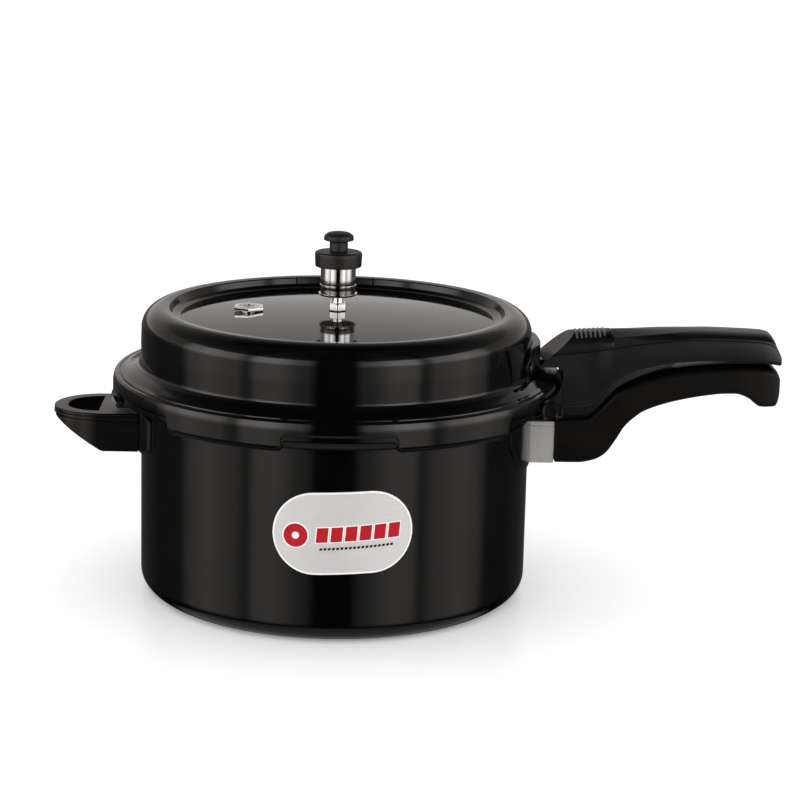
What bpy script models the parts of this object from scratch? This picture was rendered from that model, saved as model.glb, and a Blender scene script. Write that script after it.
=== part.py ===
"""Stovetop pressure cooker with an outer bayonet lid, modelled as separate parts.

Frame: origin at the centre of the pot's underside, +Z up, +X towards the two long handles.
All lengths are in metres. Angles named *_DEG are in degrees, measured about +Z from +X.
"""
import math

import bmesh
import bpy
from mathutils import Matrix, Vector

# ---------------------------------------------------------------- driving dimensions
MM = 0.001
GAP = 0.3 * MM              # clearance left between touching parts
STEPS = 60                  # facets of the large turned parts, one every 6 degrees
SMALL_STEPS = 16            # facets of the small turned parts
SLEEVE_STEPS = 20           # facets of the weight
TINY_STEPS = 10             # facets of rivets and screws
ARCH_STEPS = 6              # facets of the arch over a long handle
WING_PITCH_DEG = 5.5        # facets of the saddles on the pot's wall
SMOOTH_DEG = 35             # edges sharper than this stay sharp in the shading
FACET_DEG = 360 / STEPS

POT_RADIUS = 110 * MM
POT_WALL = 3 * MM
POT_BASE = 4 * MM
BASE_CORNER = 12.3 * MM
RIM_TOP = 117.5 * MM        # top of the pot's rim, where the gasket rests
RIM_UNDER = 112 * MM        # underside of the rim's flange
RIM_RADIUS = 116 * MM       # the flange between its tongues
TONGUE_RADIUS = 122 * MM    # the flange at its tongues
TONGUE_HALF_DEG = 13
LUGS = 6
LUG_PITCH_DEG = 360 / LUGS
LUG_FIRST_DEG = 0           # a lug lies behind each handle

LABEL_THICKNESS = 0.6 * MM
LABEL_HALF_HEIGHT = 22.9 * MM
LABEL_HALF_DEG = 19.8
LABEL_CENTRE_DEG = -87.3
LABEL_CENTRE = 61.5 * MM    # height of the label's middle

LID_WALL = 3 * MM
DRUM_RADIUS = 110 * MM
SHOULDER_RADIUS = 11.5 * MM
SHOULDER_START = 149.5 * MM
CREST_HEIGHT = 161 * MM
FLOOR_RADIUS = 90 * MM
FLOOR_EDGE = 155 * MM       # the lid's recessed floor at its edge
FLOOR_CENTRE = 159 * MM     # and at its centre, because it is slightly domed
SKIRT_RADIUS = 126 * MM
SKIRT_BOTTOM = 108.5 * MM
SKIRT_NOTCH_TOP = 117 * MM
NOTCH_HALF_DEG = 14
LIP_RADIUS = 118 * MM       # inner reach of the lid's lugs, under the pot's tongues
LIP_TOP = 111.5 * MM
FLANGE_UNDER = 121.5 * MM
SLOPE_TOP = 129.6 * MM      # where the drum meets the flange's sloping top

HANDLE_HALF_WIDTH = 15 * MM
HANDLE_START = 124.4 * MM   # inner end of the lower long handle
BRACKET_TOP = 98 * MM
BRACKET_BOTTOM = 76.2 * MM
WING_TOP = 104.5 * MM
WING_HALF_DEG = 30
PLATE = 2 * MM              # thickness of the formed brackets
TONGUE_HALF_WIDTH = 6 * MM
BODY_TONGUE = (85 * MM, 91 * MM, 153 * MM)          # its bottom, top and far end
BODY_RIVETS = [(0, 79.8 * MM), (0, 96.2 * MM)]      # the angle and height of each
BODY_SCREWS = (132 * MM, 145 * MM)
BODY_SCREW_HEADS = (77.6 * MM, 79.5 * MM)           # the lowest point of each head
BODY_SCREW_TOP = 93.5 * MM

HELPER_HALF_WIDTH = 25 * MM
HELPER_TOP = 102.5 * MM
HELPER_BOTTOM = 80.7 * MM
HELPER_TIP = 159.5 * MM
HELPER_SLOPE = 0.62         # rise of its underside towards the tip
HELPER_BEND = 130 * MM      # where its underside starts to rise
HELPER_ROOT = 90 * MM       # inside the wall, before the seat is cut to fit it
HELPER_CENTRE = 133 * MM    # centre of its round end and of the finger hole
HELPER_TONGUE = (88 * MM, 94 * MM, 130 * MM)        # its bottom, top and far end
HELPER_RIVETS = [(172, 91 * MM), (188, 91 * MM)]    # the angle and height of each
HELPER_SCREW = 121 * MM
HELPER_SCREW_HEAD = 82 * MM
HELPER_SCREW_TOP = 95.5 * MM

LID_TONGUE = (131.4 * MM, 134.4 * MM, 160 * MM)     # its bottom, top and far end
LID_TONGUE_HALF_WIDTH = 7 * MM
PAD_RADIUS = 115 * MM
PAD_BOTTOM = 130.4 * MM
PAD_HALF_DEG = 20
SADDLE_INSIDE = 126.35 * MM
SADDLE_RADIUS = 128.4 * MM
SADDLE_BOTTOM = 110 * MM
SADDLE_HALF_DEG = 7.5
SKIRT_WING_HALF_DEG = 28
LID_RIVET_ANGLES = (-16.5, 16.5)
LID_RIVET_HEIGHT = 134.5 * MM
LID_SCREWS = (136 * MM, 152 * MM)
LID_SCREW_HEADS = (111 * MM, 120.5 * MM)            # the lowest point of each head
LID_SCREW_TOP = 139.5 * MM

VENT_PIPE = 3.2 * MM        # its outside radius
VENT_BORE = 1.2 * MM
VENT_HOLE = VENT_PIPE + GAP
VENT_TOP = 176 * MM
VALVE_X = -50 * MM
VALVE_SHANK = 5 * MM
VALVE_BORE = 2.2 * MM
VALVE_SEAT = 3.6 * MM       # radius of the pocket round the plug's head

WEIGHT_BOTTOM = 167.9 * MM
SLEEVE_RADIUS = 9.9 * MM
SLEEVE_WALL = 1 * MM
SLEEVE_TOP = 186.4 * MM
CORE_RADIUS = 9 * MM - GAP
CORE_BORE = 3.6 * MM
CLIP_GROOVE = (171 * MM, 173 * MM)
STUD_BOTTOM = 180.9 * MM
STUD_TOP = 198 * MM
CAP_BOTTOM = 184.2 * MM
CAP_TOP = 192.7 * MM
CAP_RADIUS = 13.3 * MM
KNOB_BOTTOM = 193 * MM
KNOB_RADIUS = 8.35 * MM
KNOB_TOP = 204 * MM

SCREW_RADIUS = 2 * MM
SCREW_HEAD = 3.8 * MM
SCREW_HEAD_HEIGHT = 2 * MM
RIVET_RADIUS = 2 * MM
RIVET_HEAD = 4 * MM
RIVET_DOME = 1.4 * MM


# ---------------------------------------------------------------- materials
def material(name, colour, roughness, metallic):
    surface = bpy.data.materials.new(name)
    surface.use_nodes = True
    shader = surface.node_tree.nodes["Principled BSDF"]
    shader.inputs["Base Color"].default_value = (*colour, 1)
    shader.inputs["Roughness"].default_value = roughness
    shader.inputs["Metallic"].default_value = metallic
    surface.diffuse_color = (*colour, 1)
    return surface


def black_anodised(name):
    return material(name, (0.02, 0.019, 0.018), 0.12, 0.9)


def phenolic(name):
    return material(name, (0.025, 0.022, 0.02), 0.35, 0.0)


def chrome(name):
    return material(name, (0.8, 0.8, 0.8), 0.06, 1.0)


def steel(name):
    return material(name, (0.62, 0.62, 0.62), 0.3, 1.0)


def aluminium(name):
    return material(name, (0.7, 0.7, 0.71), 0.35, 1.0)


def rubber(name):
    return material(name, (0.12, 0.12, 0.12), 0.7, 0.0)


# ---------------------------------------------------------------- shapes
def polar(radius, degrees, height):
    angle = math.radians(degrees)
    return Vector((radius * math.cos(angle), radius * math.sin(angle), height))


def arc(centre_r, centre_z, size_r, size_z, start, end, count):
    """Points on an elliptical arc in the (radius, height) plane, angles in degrees from +R."""
    points = []
    for i in range(count + 1):
        angle = math.radians(start + (end - start) * i / count)
        points.append((centre_r + size_r * math.cos(angle), centre_z + size_z * math.sin(angle)))
    return points


def skin(sections, closed=False):
    """A closed body through sections of points. A section of one point closes to a tip."""
    body = bmesh.new()
    rings = [[body.verts.new(point) for point in section] for section in sections]
    pairs = list(zip(rings, rings[1:]))
    if closed:
        pairs.append((rings[-1], rings[0]))
    for first, second in pairs:
        count = max(len(first), len(second))
        for i in range(count):
            j = (i + 1) % count
            corners = [
                first[i % len(first)],
                first[j % len(first)],
                second[j % len(second)],
                second[i % len(second)],
            ]
            corners = list(dict.fromkeys(corners))
            if len(corners) > 2:
                body.faces.new(corners)
    if not closed:
        for end in (rings[0], rings[-1]):
            if len(end) > 2:
                body.faces.new(end)
    bmesh.ops.recalc_face_normals(body, faces=body.faces)
    return body


def turned(profile, steps=STEPS, ring=False):
    """A body turned about Z. A ring's profile is a loop; any other starts and ends at radius 0."""
    sections = []
    for radius, height in profile:
        if radius == 0:
            sections.append([Vector((0, 0, height))])
        else:
            sections.append([polar(radius, 360 * i / steps, height) for i in range(steps)])
    return skin(sections, closed=ring)


def sector(profile_at, centre_deg, half_deg, pitch_deg=FACET_DEG):
    """A body swept about Z. profile_at(offset in degrees) gives its (radius, height) loop."""
    count = max(1, math.ceil(2 * half_deg / pitch_deg))
    sections = []
    for i in range(count + 1):
        offset = -half_deg + 2 * half_deg * i / count
        sections.append([polar(r, centre_deg + offset, z) for r, z in profile_at(offset)])
    return skin(sections)


def block(low, high):
    corners = [(low[0], low[1]), (high[0], low[1]), (high[0], high[1]), (low[0], high[1])]
    return skin([[Vector((x, y, z)) for x, y in corners] for z in (low[2], high[2])])


def upright(outline, bottom, top):
    """A vertical prism on an (x, y) outline."""
    return skin([[Vector((x, y, z)) for x, y in outline] for z in (bottom, top)])


def sideways(outline, half_width):
    """A prism across Y on an (x, z) outline."""
    return skin([[Vector((x, y, z)) for x, z in outline] for y in (-half_width, half_width)])


def hexagon(radius, bottom, top, chamfer):
    """A hexagonal head, its top corners turned down by a small chamfer."""
    sections = []
    for reach, height in ((radius, bottom), (radius, top - chamfer), (radius - chamfer, top)):
        sections.append([polar(reach, 60 * i, height) for i in range(6)])
    return skin(sections)


def rod(radius, bottom, top, steps=SMALL_STEPS):
    return turned([(0, bottom), (radius, bottom), (radius, top), (0, top)], steps)


def moved(body, x=0.0, y=0.0, z=0.0):
    bmesh.ops.translate(body, verts=body.verts, vec=(x, y, z))
    return body


def pointed_outwards(body, degrees, height):
    """Lays a body turned about Z along the radius at an angle, at a height."""
    turn = Matrix.Rotation(math.radians(degrees), 4, "Z") @ Matrix.Rotation(math.pi / 2, 4, "Y")
    bmesh.ops.transform(body, matrix=Matrix.Translation((0, 0, height)) @ turn, verts=body.verts)
    return body


def together(bodies):
    """Several bodies that don't touch, as one."""
    mesh = bpy.data.meshes.new("together")
    whole = bmesh.new()
    for body in bodies:
        body.to_mesh(mesh)
        body.free()
        whole.from_mesh(mesh)
    bpy.data.meshes.remove(mesh)
    return whole


def mesh_object(name, body):
    mesh = bpy.data.meshes.new(name)
    body.to_mesh(mesh)
    body.free()
    thing = bpy.data.objects.new(name, mesh)
    bpy.context.scene.collection.objects.link(thing)
    return thing


def combined(name, body, steps):
    """Applies (operation, other body) pairs in turn to a body, with exact Booleans."""
    target = mesh_object(name, body)
    for operation, other in steps:
        tool = mesh_object(name + "_tool", other)
        cut = target.modifiers.new("cut", "BOOLEAN")
        cut.operation = operation
        cut.solver = "EXACT"
        cut.object = tool
        bpy.context.view_layer.update()
        evaluated = target.evaluated_get(bpy.context.evaluated_depsgraph_get())
        result = bpy.data.meshes.new_from_object(evaluated)
        target.modifiers.remove(cut)
        target.data = result
        result.name = name
        bpy.data.objects.remove(tool)
    return target


def finish(thing, surface, parent=None):
    """Gives a part its material and shading, and hangs it on the empty of its joint."""
    thing.data.materials.clear()
    thing.data.materials.append(surface)
    thing.data.shade_smooth()
    thing.data.set_sharp_from_angle(angle=math.radians(SMOOTH_DEG))
    if parent:
        thing.data.transform(Matrix.Translation(-parent.location))
        thing.parent = parent
    return thing


def plain(name, body, surface, parent=None):
    return finish(mesh_object(name, body), surface, parent)


def cut(body):
    return ("DIFFERENCE", body)


def join(body):
    return ("UNION", body)


def common(body):
    return ("INTERSECT", body)


def joint_empty(name, height):
    empty = bpy.data.objects.new(name, None)
    empty.location = (0, 0, height)
    bpy.context.scene.collection.objects.link(empty)
    return empty


def between(points, x):
    """The value at x on the straight runs through (x, value) points."""
    for (x0, v0), (x1, v1) in zip(points, points[1:]):
        if x <= x1:
            return v0 + (v1 - v0) * (x - x0) / (x1 - x0)
    return points[-1][1]


def lug_angles():
    return [LUG_FIRST_DEG + LUG_PITCH_DEG * i for i in range(LUGS)]


def rivet(name, degrees, height, plate_outside, wall_inside, surface, parent=None):
    """A domed rivet through a bracket and a turned wall, its axis along a radius."""
    outer = plate_outside + GAP
    inner = wall_inside - GAP
    profile = [
        (0, inner - RIVET_DOME),
        (RIVET_HEAD * 0.6, inner - RIVET_DOME),
        (RIVET_HEAD, inner),
        (RIVET_RADIUS, inner),
        (RIVET_RADIUS, outer),
        (RIVET_HEAD, outer),
        (RIVET_HEAD * 0.6, outer + RIVET_DOME),
        (0, outer + RIVET_DOME),
    ]
    body = pointed_outwards(turned(profile, TINY_STEPS), degrees, height)
    return plain(name, body, surface, parent)


def rivet_hole(degrees, height, inside, outside, radius=RIVET_RADIUS + GAP):
    return pointed_outwards(rod(radius, inside, outside, TINY_STEPS), degrees, height)


def screw(name, x, head_bottom, top, surface, parent=None):
    """A pan-head screw driven upwards, with a slot in its head."""
    head_top = head_bottom + SCREW_HEAD_HEIGHT
    profile = [
        (0, head_bottom),
        (SCREW_HEAD * 0.8, head_bottom),
        (SCREW_HEAD, head_bottom + 0.7 * MM),
        (SCREW_HEAD, head_top),
        (SCREW_RADIUS, head_top),
        (SCREW_RADIUS, top),
        (0, top),
    ]
    slot = block((-5 * MM, -0.4 * MM, head_bottom - MM), (5 * MM, 0.4 * MM, head_bottom + 0.9 * MM))
    thing = combined(name, turned(profile, TINY_STEPS), [cut(slot)])
    thing.data.transform(Matrix.Translation((x, 0, 0)))
    return finish(thing, surface, parent)


def stepped_rod(wide, narrow, bottom, step, top, steps=TINY_STEPS):
    return turned([(0, bottom), (wide, bottom), (wide, step), (narrow, step), (narrow, top), (0, top)], steps)


def screw_hole(x, mouth, head_top, top):
    """The counterbore and the clearance hole for a screw driven upwards."""
    hole = stepped_rod(SCREW_HEAD + GAP, SCREW_RADIUS + GAP, mouth, head_top + GAP, top + GAP)
    return cut(moved(hole, x))


# ---------------------------------------------------------------- pot
def pot_body():
    inner = POT_RADIUS - POT_WALL
    inner_corner = BASE_CORNER - POT_WALL
    profile = [(0, 0)]
    profile += arc(POT_RADIUS - BASE_CORNER, BASE_CORNER, BASE_CORNER, BASE_CORNER, -90, 0, 3)
    profile += [(POT_RADIUS, RIM_UNDER - 6 * MM)]
    profile += [(POT_RADIUS + 1.8 * MM, RIM_UNDER - 1.8 * MM)]
    profile += [(RIM_RADIUS, RIM_UNDER)]
    profile += [(TONGUE_RADIUS, RIM_UNDER), (TONGUE_RADIUS, RIM_TOP - 0.5 * MM)]
    profile += [(RIM_RADIUS, RIM_TOP), (inner, RIM_TOP)]
    profile += arc(inner - inner_corner, POT_BASE + inner_corner, inner_corner, inner_corner, 0, -90, 3)
    profile += [(0, POT_BASE)]
    cutters = []
    notch_half = LUG_PITCH_DEG / 2 - TONGUE_HALF_DEG
    for degrees in lug_angles():
        low = RIM_UNDER - 2 * MM
        high = RIM_TOP + 2 * MM
        outer = TONGUE_RADIUS + 4 * MM
        loop = [(RIM_RADIUS, low), (outer, low), (outer, high), (RIM_RADIUS, high)]
        cutters.append(sector(lambda offset: loop, degrees + LUG_PITCH_DEG / 2, notch_half))
    for degrees, height in BODY_RIVETS + HELPER_RIVETS:
        cutters.append(rivet_hole(degrees, height, inner - 4 * MM, POT_RADIUS + 4 * MM))
    pot = combined("pot_body", turned(profile), [cut(together(cutters))])
    return finish(pot, black_anodised("pot_finish"))


def label_plate():
    """A thin stadium-shaped plate curved round the front of the wall."""
    inner = POT_RADIUS + GAP
    outer = inner + LABEL_THICKNESS
    end_deg = math.degrees(LABEL_HALF_HEIGHT / inner)

    def loop(offset):
        past = max(0.0, abs(offset) - (LABEL_HALF_DEG - end_deg)) / end_deg
        reach = LABEL_HALF_HEIGHT * math.sqrt(max(0.02, 1 - past * past))
        low = LABEL_CENTRE - reach
        high = LABEL_CENTRE + reach
        return [(inner, low), (outer, low), (outer, high), (inner, high)]

    surface = material("label_finish", (0.5, 0.5, 0.5), 0.35, 0.8)
    return plain("label_plate", sector(loop, LABEL_CENTRE_DEG, LABEL_HALF_DEG, 3.2), surface)


def wing_loop(offset):
    """Section of a saddle hugging the pot's wall: its lower edge rises towards both ends."""
    inner = POT_RADIUS + GAP
    outer = inner + PLATE
    rise = [
        (0, BRACKET_BOTTOM), (10, BRACKET_BOTTOM), (20, 82 * MM), (25, 88 * MM),
        (WING_HALF_DEG, BRACKET_TOP),
    ]
    fall = [(0, WING_TOP), (WING_HALF_DEG - 4, WING_TOP), (WING_HALF_DEG, WING_TOP - 3 * MM)]
    low = between(rise, abs(offset))
    high = between(fall, abs(offset))
    return [(inner, low), (outer, low), (outer, high), (inner, high)]


def body_handle_bracket():
    """A saddle on the wall, two cheeks that show as the neck, and a tongue into the handle."""
    neck_half = HANDLE_HALF_WIDTH - 2 * MM
    start = POT_RADIUS + 0.5 * MM
    end = HANDLE_START - GAP
    cheeks = []
    for low, high in ((-neck_half, PLATE - neck_half), (neck_half - PLATE, neck_half)):
        cheeks.append(block((start, low, BRACKET_BOTTOM), (end, high, BRACKET_TOP)))
    low, high, far = BODY_TONGUE
    tongue = block((POT_RADIUS + MM, -TONGUE_HALF_WIDTH, low), (far, TONGUE_HALF_WIDTH, high))
    holes = [moved(rod(SCREW_RADIUS + GAP, 80 * MM, 94 * MM, TINY_STEPS), x) for x in BODY_SCREWS]
    for degrees, height in BODY_RIVETS:
        holes.append(rivet_hole(degrees, height, POT_RADIUS - 2 * MM, POT_RADIUS + 5 * MM))
    steps = [join(together(cheeks + [tongue])), cut(together(holes))]
    wings = sector(wing_loop, 0, WING_HALF_DEG, WING_PITCH_DEG)
    thing = combined("body_handle_bracket", wings, steps)
    return finish(thing, steel("bracket_finish"))


def handle_section(x, low, ridge, crest, half_width, step):
    """Section across a long handle: flat sides up to a ridge, and an arch above it."""
    corner = 2 * MM
    points = [
        Vector((x, -half_width + corner, low)),
        Vector((x, half_width - corner, low)),
        Vector((x, half_width, low + corner)),
        Vector((x, half_width, ridge)),
    ]
    for i in range(1, ARCH_STEPS):
        angle = math.pi * i / ARCH_STEPS
        reach = (half_width - step) * math.cos(angle)
        points.append(Vector((x, reach, ridge + (crest - ridge) * math.sin(angle))))
    points.append(Vector((x, -half_width, ridge)))
    points.append(Vector((x, -half_width, low + corner)))
    return points


def long_handle(low, ridge, crest, width, step):
    """A body through sections at every x that an edge's (x, z) points name."""
    stations = sorted({x for edge in (low, ridge, crest, width) for x, _ in edge})
    sections = []
    for x in stations:
        values = [between(edge, x) for edge in (low, ridge, crest, width)]
        sections.append(handle_section(x, *values, step))
    return skin(sections)


def in_mm(points):
    return [(x * MM, z * MM) for x, z in points]


def body_handle():
    start = HANDLE_START / MM
    low = in_mm([
        (start, 76.2), (142, 76.8), (148, 78.6), (153, 82), (158.5, 89.5), (164, 98),
        (170, 104), (178, 108.5), (192, 113.2), (208, 116.4), (224, 118), (228, 117.6),
        (233, 115.5), (239, 110.8), (248.5, 111.2), (251, 116.5),
    ])
    edge = in_mm([
        (start, 100.6), (143, 102), (148, 105), (154, 111.5), (160, 117), (174, 123),
        (189, 127.2), (210, 130.1), (232, 131.2), (246.5, 130.8), (251, 128.4),
    ])
    crest = in_mm([
        (start, 101.8), (143, 103.2), (154, 113.5), (174, 126), (210, 133.2), (232, 134.2),
        (246.5, 133.2), (251, 129.4),
    ])
    width = in_mm([(start, 15), (240, 15), (251, 13.5)])
    slot_half = TONGUE_HALF_WIDTH + GAP
    bottom, top, far = BODY_TONGUE
    slot = block((HANDLE_START - MM, -slot_half, bottom - GAP), (far + GAP, slot_half, top + GAP))
    steps = [cut(slot)]
    for x, head in zip(BODY_SCREWS, BODY_SCREW_HEADS):
        steps.append(screw_hole(x, 70 * MM, head + SCREW_HEAD_HEIGHT, BODY_SCREW_TOP + 0.5 * MM))
    body = long_handle(low, edge, crest, width, 1 * MM)
    return finish(combined("body_handle", body, steps), phenolic("body_handle_finish"))


def body_handle_screws():
    for end, x, head in zip(("front", "rear"), BODY_SCREWS, BODY_SCREW_HEADS):
        screw("body_handle_screw_" + end, x, head, BODY_SCREW_TOP, steel("screw_" + end))


def pot_rivet_set():
    names = ["body_rivet_lower", "body_rivet_upper", "helper_rivet_left", "helper_rivet_right"]
    plate_outside = POT_RADIUS + GAP + PLATE
    wall_inside = POT_RADIUS - POT_WALL
    for name, (degrees, height) in zip(names, BODY_RIVETS + HELPER_RIVETS):
        rivet(name, degrees, height, plate_outside, wall_inside, aluminium(name + "_finish"))


def helper_bracket():
    low, high, far = HELPER_TONGUE
    tongue = block((-far, -TONGUE_HALF_WIDTH, low), (-POT_RADIUS - MM, TONGUE_HALF_WIDTH, high))
    holes = [moved(rod(SCREW_RADIUS + GAP, 80 * MM, 98 * MM, TINY_STEPS), -HELPER_SCREW)]
    for degrees, height in HELPER_RIVETS:
        holes.append(rivet_hole(degrees, height, POT_RADIUS - 2 * MM, POT_RADIUS + 5 * MM))
    wings = sector(wing_loop, 180, WING_HALF_DEG, WING_PITCH_DEG)
    thing = combined("helper_bracket", wings, [join(tongue), cut(together(holes))])
    return finish(thing, black_anodised("helper_bracket_finish"))


def rounded_end(centre, length, half_width, root, count):
    """An (x, y) outline with straight sides from root and a half-elliptical end towards -X."""
    points = [(root, half_width)]
    for i in range(count + 1):
        angle = math.pi / 2 + math.pi * i / count
        points.append((centre + length * math.cos(angle), half_width * math.sin(angle)))
    points.append((root, -half_width))
    return points


def helper_handle():
    centre = -HELPER_CENTRE
    plan = rounded_end(centre, HELPER_TIP - HELPER_CENTRE, HELPER_HALF_WIDTH, -HELPER_ROOT, 14)
    body = upright(plan, HELPER_BOTTOM, HELPER_TOP)
    beyond = HELPER_TIP + 10.5 * MM
    side = [
        (-HELPER_ROOT, HELPER_BOTTOM),
        (-HELPER_BEND, HELPER_BOTTOM),
        (-beyond, HELPER_BOTTOM + HELPER_SLOPE * (beyond - HELPER_BEND)),
        (-beyond, HELPER_TOP + MM),
        (-HELPER_ROOT, HELPER_TOP + MM),
    ]
    keep = sideways(side, HELPER_HALF_WIDTH + MM)
    seat_radius = POT_RADIUS + GAP + PLATE + GAP
    seat = turned([(0, 60 * MM), (seat_radius, 60 * MM), (seat_radius, 120 * MM), (0, 120 * MM)])
    hole = upright(rounded_end(centre, 18.5 * MM, 17 * MM, centre, 10)[1:-1], 60 * MM, 120 * MM)
    slot_half = TONGUE_HALF_WIDTH + GAP
    low, high, far = HELPER_TONGUE
    slot = block((-far - GAP, -slot_half, low - GAP), (-100 * MM, slot_half, high + GAP))
    steps = [common(keep), cut(seat), cut(hole), cut(slot)]
    head_top = HELPER_SCREW_HEAD + SCREW_HEAD_HEIGHT
    steps.append(screw_hole(-HELPER_SCREW, 70 * MM, head_top, HELPER_SCREW_TOP + 0.5 * MM))
    pockets = []
    for degrees, height in HELPER_RIVETS:
        outside = POT_RADIUS + 4.5 * MM
        pockets.append(rivet_hole(degrees, height, 100 * MM, outside, RIVET_HEAD + GAP))
    steps.append(cut(together(pockets)))
    return finish(combined("helper_handle", body, steps), phenolic("helper_handle_finish"))


def helper_screw():
    surface = steel("helper_screw_finish")
    screw("helper_handle_screw", -HELPER_SCREW, HELPER_SCREW_HEAD, HELPER_SCREW_TOP, surface)


# ---------------------------------------------------------------- gasket
def gasket(pivot):
    """A ring with a sealing lip that opens inwards, lying on the pot's rim."""
    low = RIM_TOP + GAP
    high = FLANGE_UNDER - GAP
    middle = (low + high) / 2
    loop = [
        (108.2 * MM, low), (115.4 * MM, low), (115.4 * MM, high), (108.2 * MM, high), (112 * MM, middle),
    ]
    return plain("gasket", turned(loop, ring=True), rubber("gasket_finish"), pivot)


# ---------------------------------------------------------------- lid
def lid_floor(radius):
    """Height of the lid's domed floor at a radius."""
    return FLOOR_CENTRE - (FLOOR_CENTRE - FLOOR_EDGE) * (radius / FLOOR_RADIUS) ** 2


def lid_shell(pivot):
    crest_radius = DRUM_RADIUS - SHOULDER_RADIUS
    shoulder_height = CREST_HEIGHT - SHOULDER_START
    floor = [(0, FLOOR_CENTRE)]
    floor += [(r * MM, lid_floor(r * MM)) for r in (30, 60, 88)]
    outside = floor + [(93 * MM, 156.8 * MM), (95.6 * MM, 159.8 * MM)]
    outside += arc(crest_radius, SHOULDER_START, SHOULDER_RADIUS, shoulder_height, 90, 0, 4)
    outside += [(DRUM_RADIUS, SLOPE_TOP), (119 * MM, 125.5 * MM), (124 * MM, 124.4 * MM)]
    outside += [(SKIRT_RADIUS, 122.8 * MM), (SKIRT_RADIUS, SKIRT_BOTTOM)]
    skirt_inner = SKIRT_RADIUS - LID_WALL
    inside = [(LIP_RADIUS, SKIRT_BOTTOM), (LIP_RADIUS, LIP_TOP), (skirt_inner, LIP_TOP)]
    inside += [(skirt_inner, FLANGE_UNDER), (DRUM_RADIUS - LID_WALL, FLANGE_UNDER)]
    inside += arc(
        crest_radius, SHOULDER_START, SHOULDER_RADIUS - LID_WALL, shoulder_height - LID_WALL, 0, 90, 3
    )
    inside += [(97 * MM, 157.2 * MM), (94.6 * MM, 153.8 * MM), (89 * MM, 151.9 * MM)]
    inside += [(r, z - LID_WALL) for r, z in reversed(floor[:-1])]
    cutters = []
    for degrees in lug_angles():
        low = SKIRT_BOTTOM - 3 * MM
        loop = [
            (LIP_RADIUS - 3 * MM, low), (SKIRT_RADIUS + 3 * MM, low),
            (SKIRT_RADIUS + 3 * MM, SKIRT_NOTCH_TOP), (LIP_RADIUS - 3 * MM, SKIRT_NOTCH_TOP),
        ]
        cutters.append(sector(lambda offset: loop, degrees + LUG_PITCH_DEG / 2, NOTCH_HALF_DEG, 5.6))
    cutters.append(rod(VENT_HOLE, 140 * MM, 170 * MM))
    cutters.append(moved(rod(VALVE_SHANK + GAP, 140 * MM, 170 * MM, 18), VALVE_X))
    for degrees in LID_RIVET_ANGLES:
        cutters.append(rivet_hole(degrees, LID_RIVET_HEIGHT, DRUM_RADIUS - 6 * MM, DRUM_RADIUS + 5 * MM))
    thing = combined("lid_shell", turned(outside + inside), [cut(together(cutters))])
    return finish(thing, black_anodised("lid_finish"), pivot)


def lid_handle_bracket(pivot):
    """A thick pad on the drum, a saddle over the flange and skirt, and a tongue into the handle."""
    inner = DRUM_RADIUS + GAP

    def pad_loop(offset):
        thin = inner + PLATE
        size = abs(offset)
        low = between([(0, PAD_BOTTOM), (17, PAD_BOTTOM), (PAD_HALF_DEG, 132.5 * MM)], size)
        high = between([(0, 145 * MM), (15, 143 * MM), (PAD_HALF_DEG, 137 * MM)], size)
        outer = between([(0, PAD_RADIUS), (8, PAD_RADIUS), (12, thin), (PAD_HALF_DEG, thin)], size)
        return [(inner, low), (outer, low), (outer, high), (inner, high)]

    def saddle_loop(offset):
        return [
            (inner, 135 * MM), (inner, SLOPE_TOP + GAP), (119.1 * MM, 125.9 * MM),
            (124.2 * MM, 124.8 * MM), (SADDLE_INSIDE, 123 * MM), (SADDLE_INSIDE, SADDLE_BOTTOM),
            (SADDLE_RADIUS, SADDLE_BOTTOM), (SADDLE_RADIUS, 124 * MM), (125.6 * MM, 127 * MM),
            (119.8 * MM, 128.2 * MM), (PAD_RADIUS, 131 * MM), (PAD_RADIUS, 135 * MM),
        ]

    def skirt_loop(offset):
        rise = [(0, SADDLE_BOTTOM), (22, SADDLE_BOTTOM), (SKIRT_WING_HALF_DEG, 114 * MM)]
        bottom = between(rise, abs(offset))
        return [
            (SADDLE_INSIDE, bottom), (SADDLE_RADIUS, bottom),
            (SADDLE_RADIUS, 121 * MM), (SADDLE_INSIDE, 122 * MM),
        ]

    low, high, end = LID_TONGUE
    tongue = block((112 * MM, -LID_TONGUE_HALF_WIDTH, low), (end, LID_TONGUE_HALF_WIDTH, high))
    steps = [
        join(sector(saddle_loop, 0, SADDLE_HALF_DEG, 2.5)),
        join(sector(skirt_loop, 0, SKIRT_WING_HALF_DEG, 3.5)),
        join(tongue),
    ]
    holes = [moved(rod(SCREW_RADIUS + GAP, 125 * MM, 140 * MM, TINY_STEPS), x) for x in LID_SCREWS]
    for degrees in LID_RIVET_ANGLES:
        holes.append(rivet_hole(degrees, LID_RIVET_HEIGHT, DRUM_RADIUS - MM, DRUM_RADIUS + 6 * MM))
    steps.append(cut(together(holes)))
    thing = combined("lid_handle_bracket", sector(pad_loop, 0, PAD_HALF_DEG, 2.5), steps)
    return finish(thing, black_anodised("lid_bracket_finish"), pivot)


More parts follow.
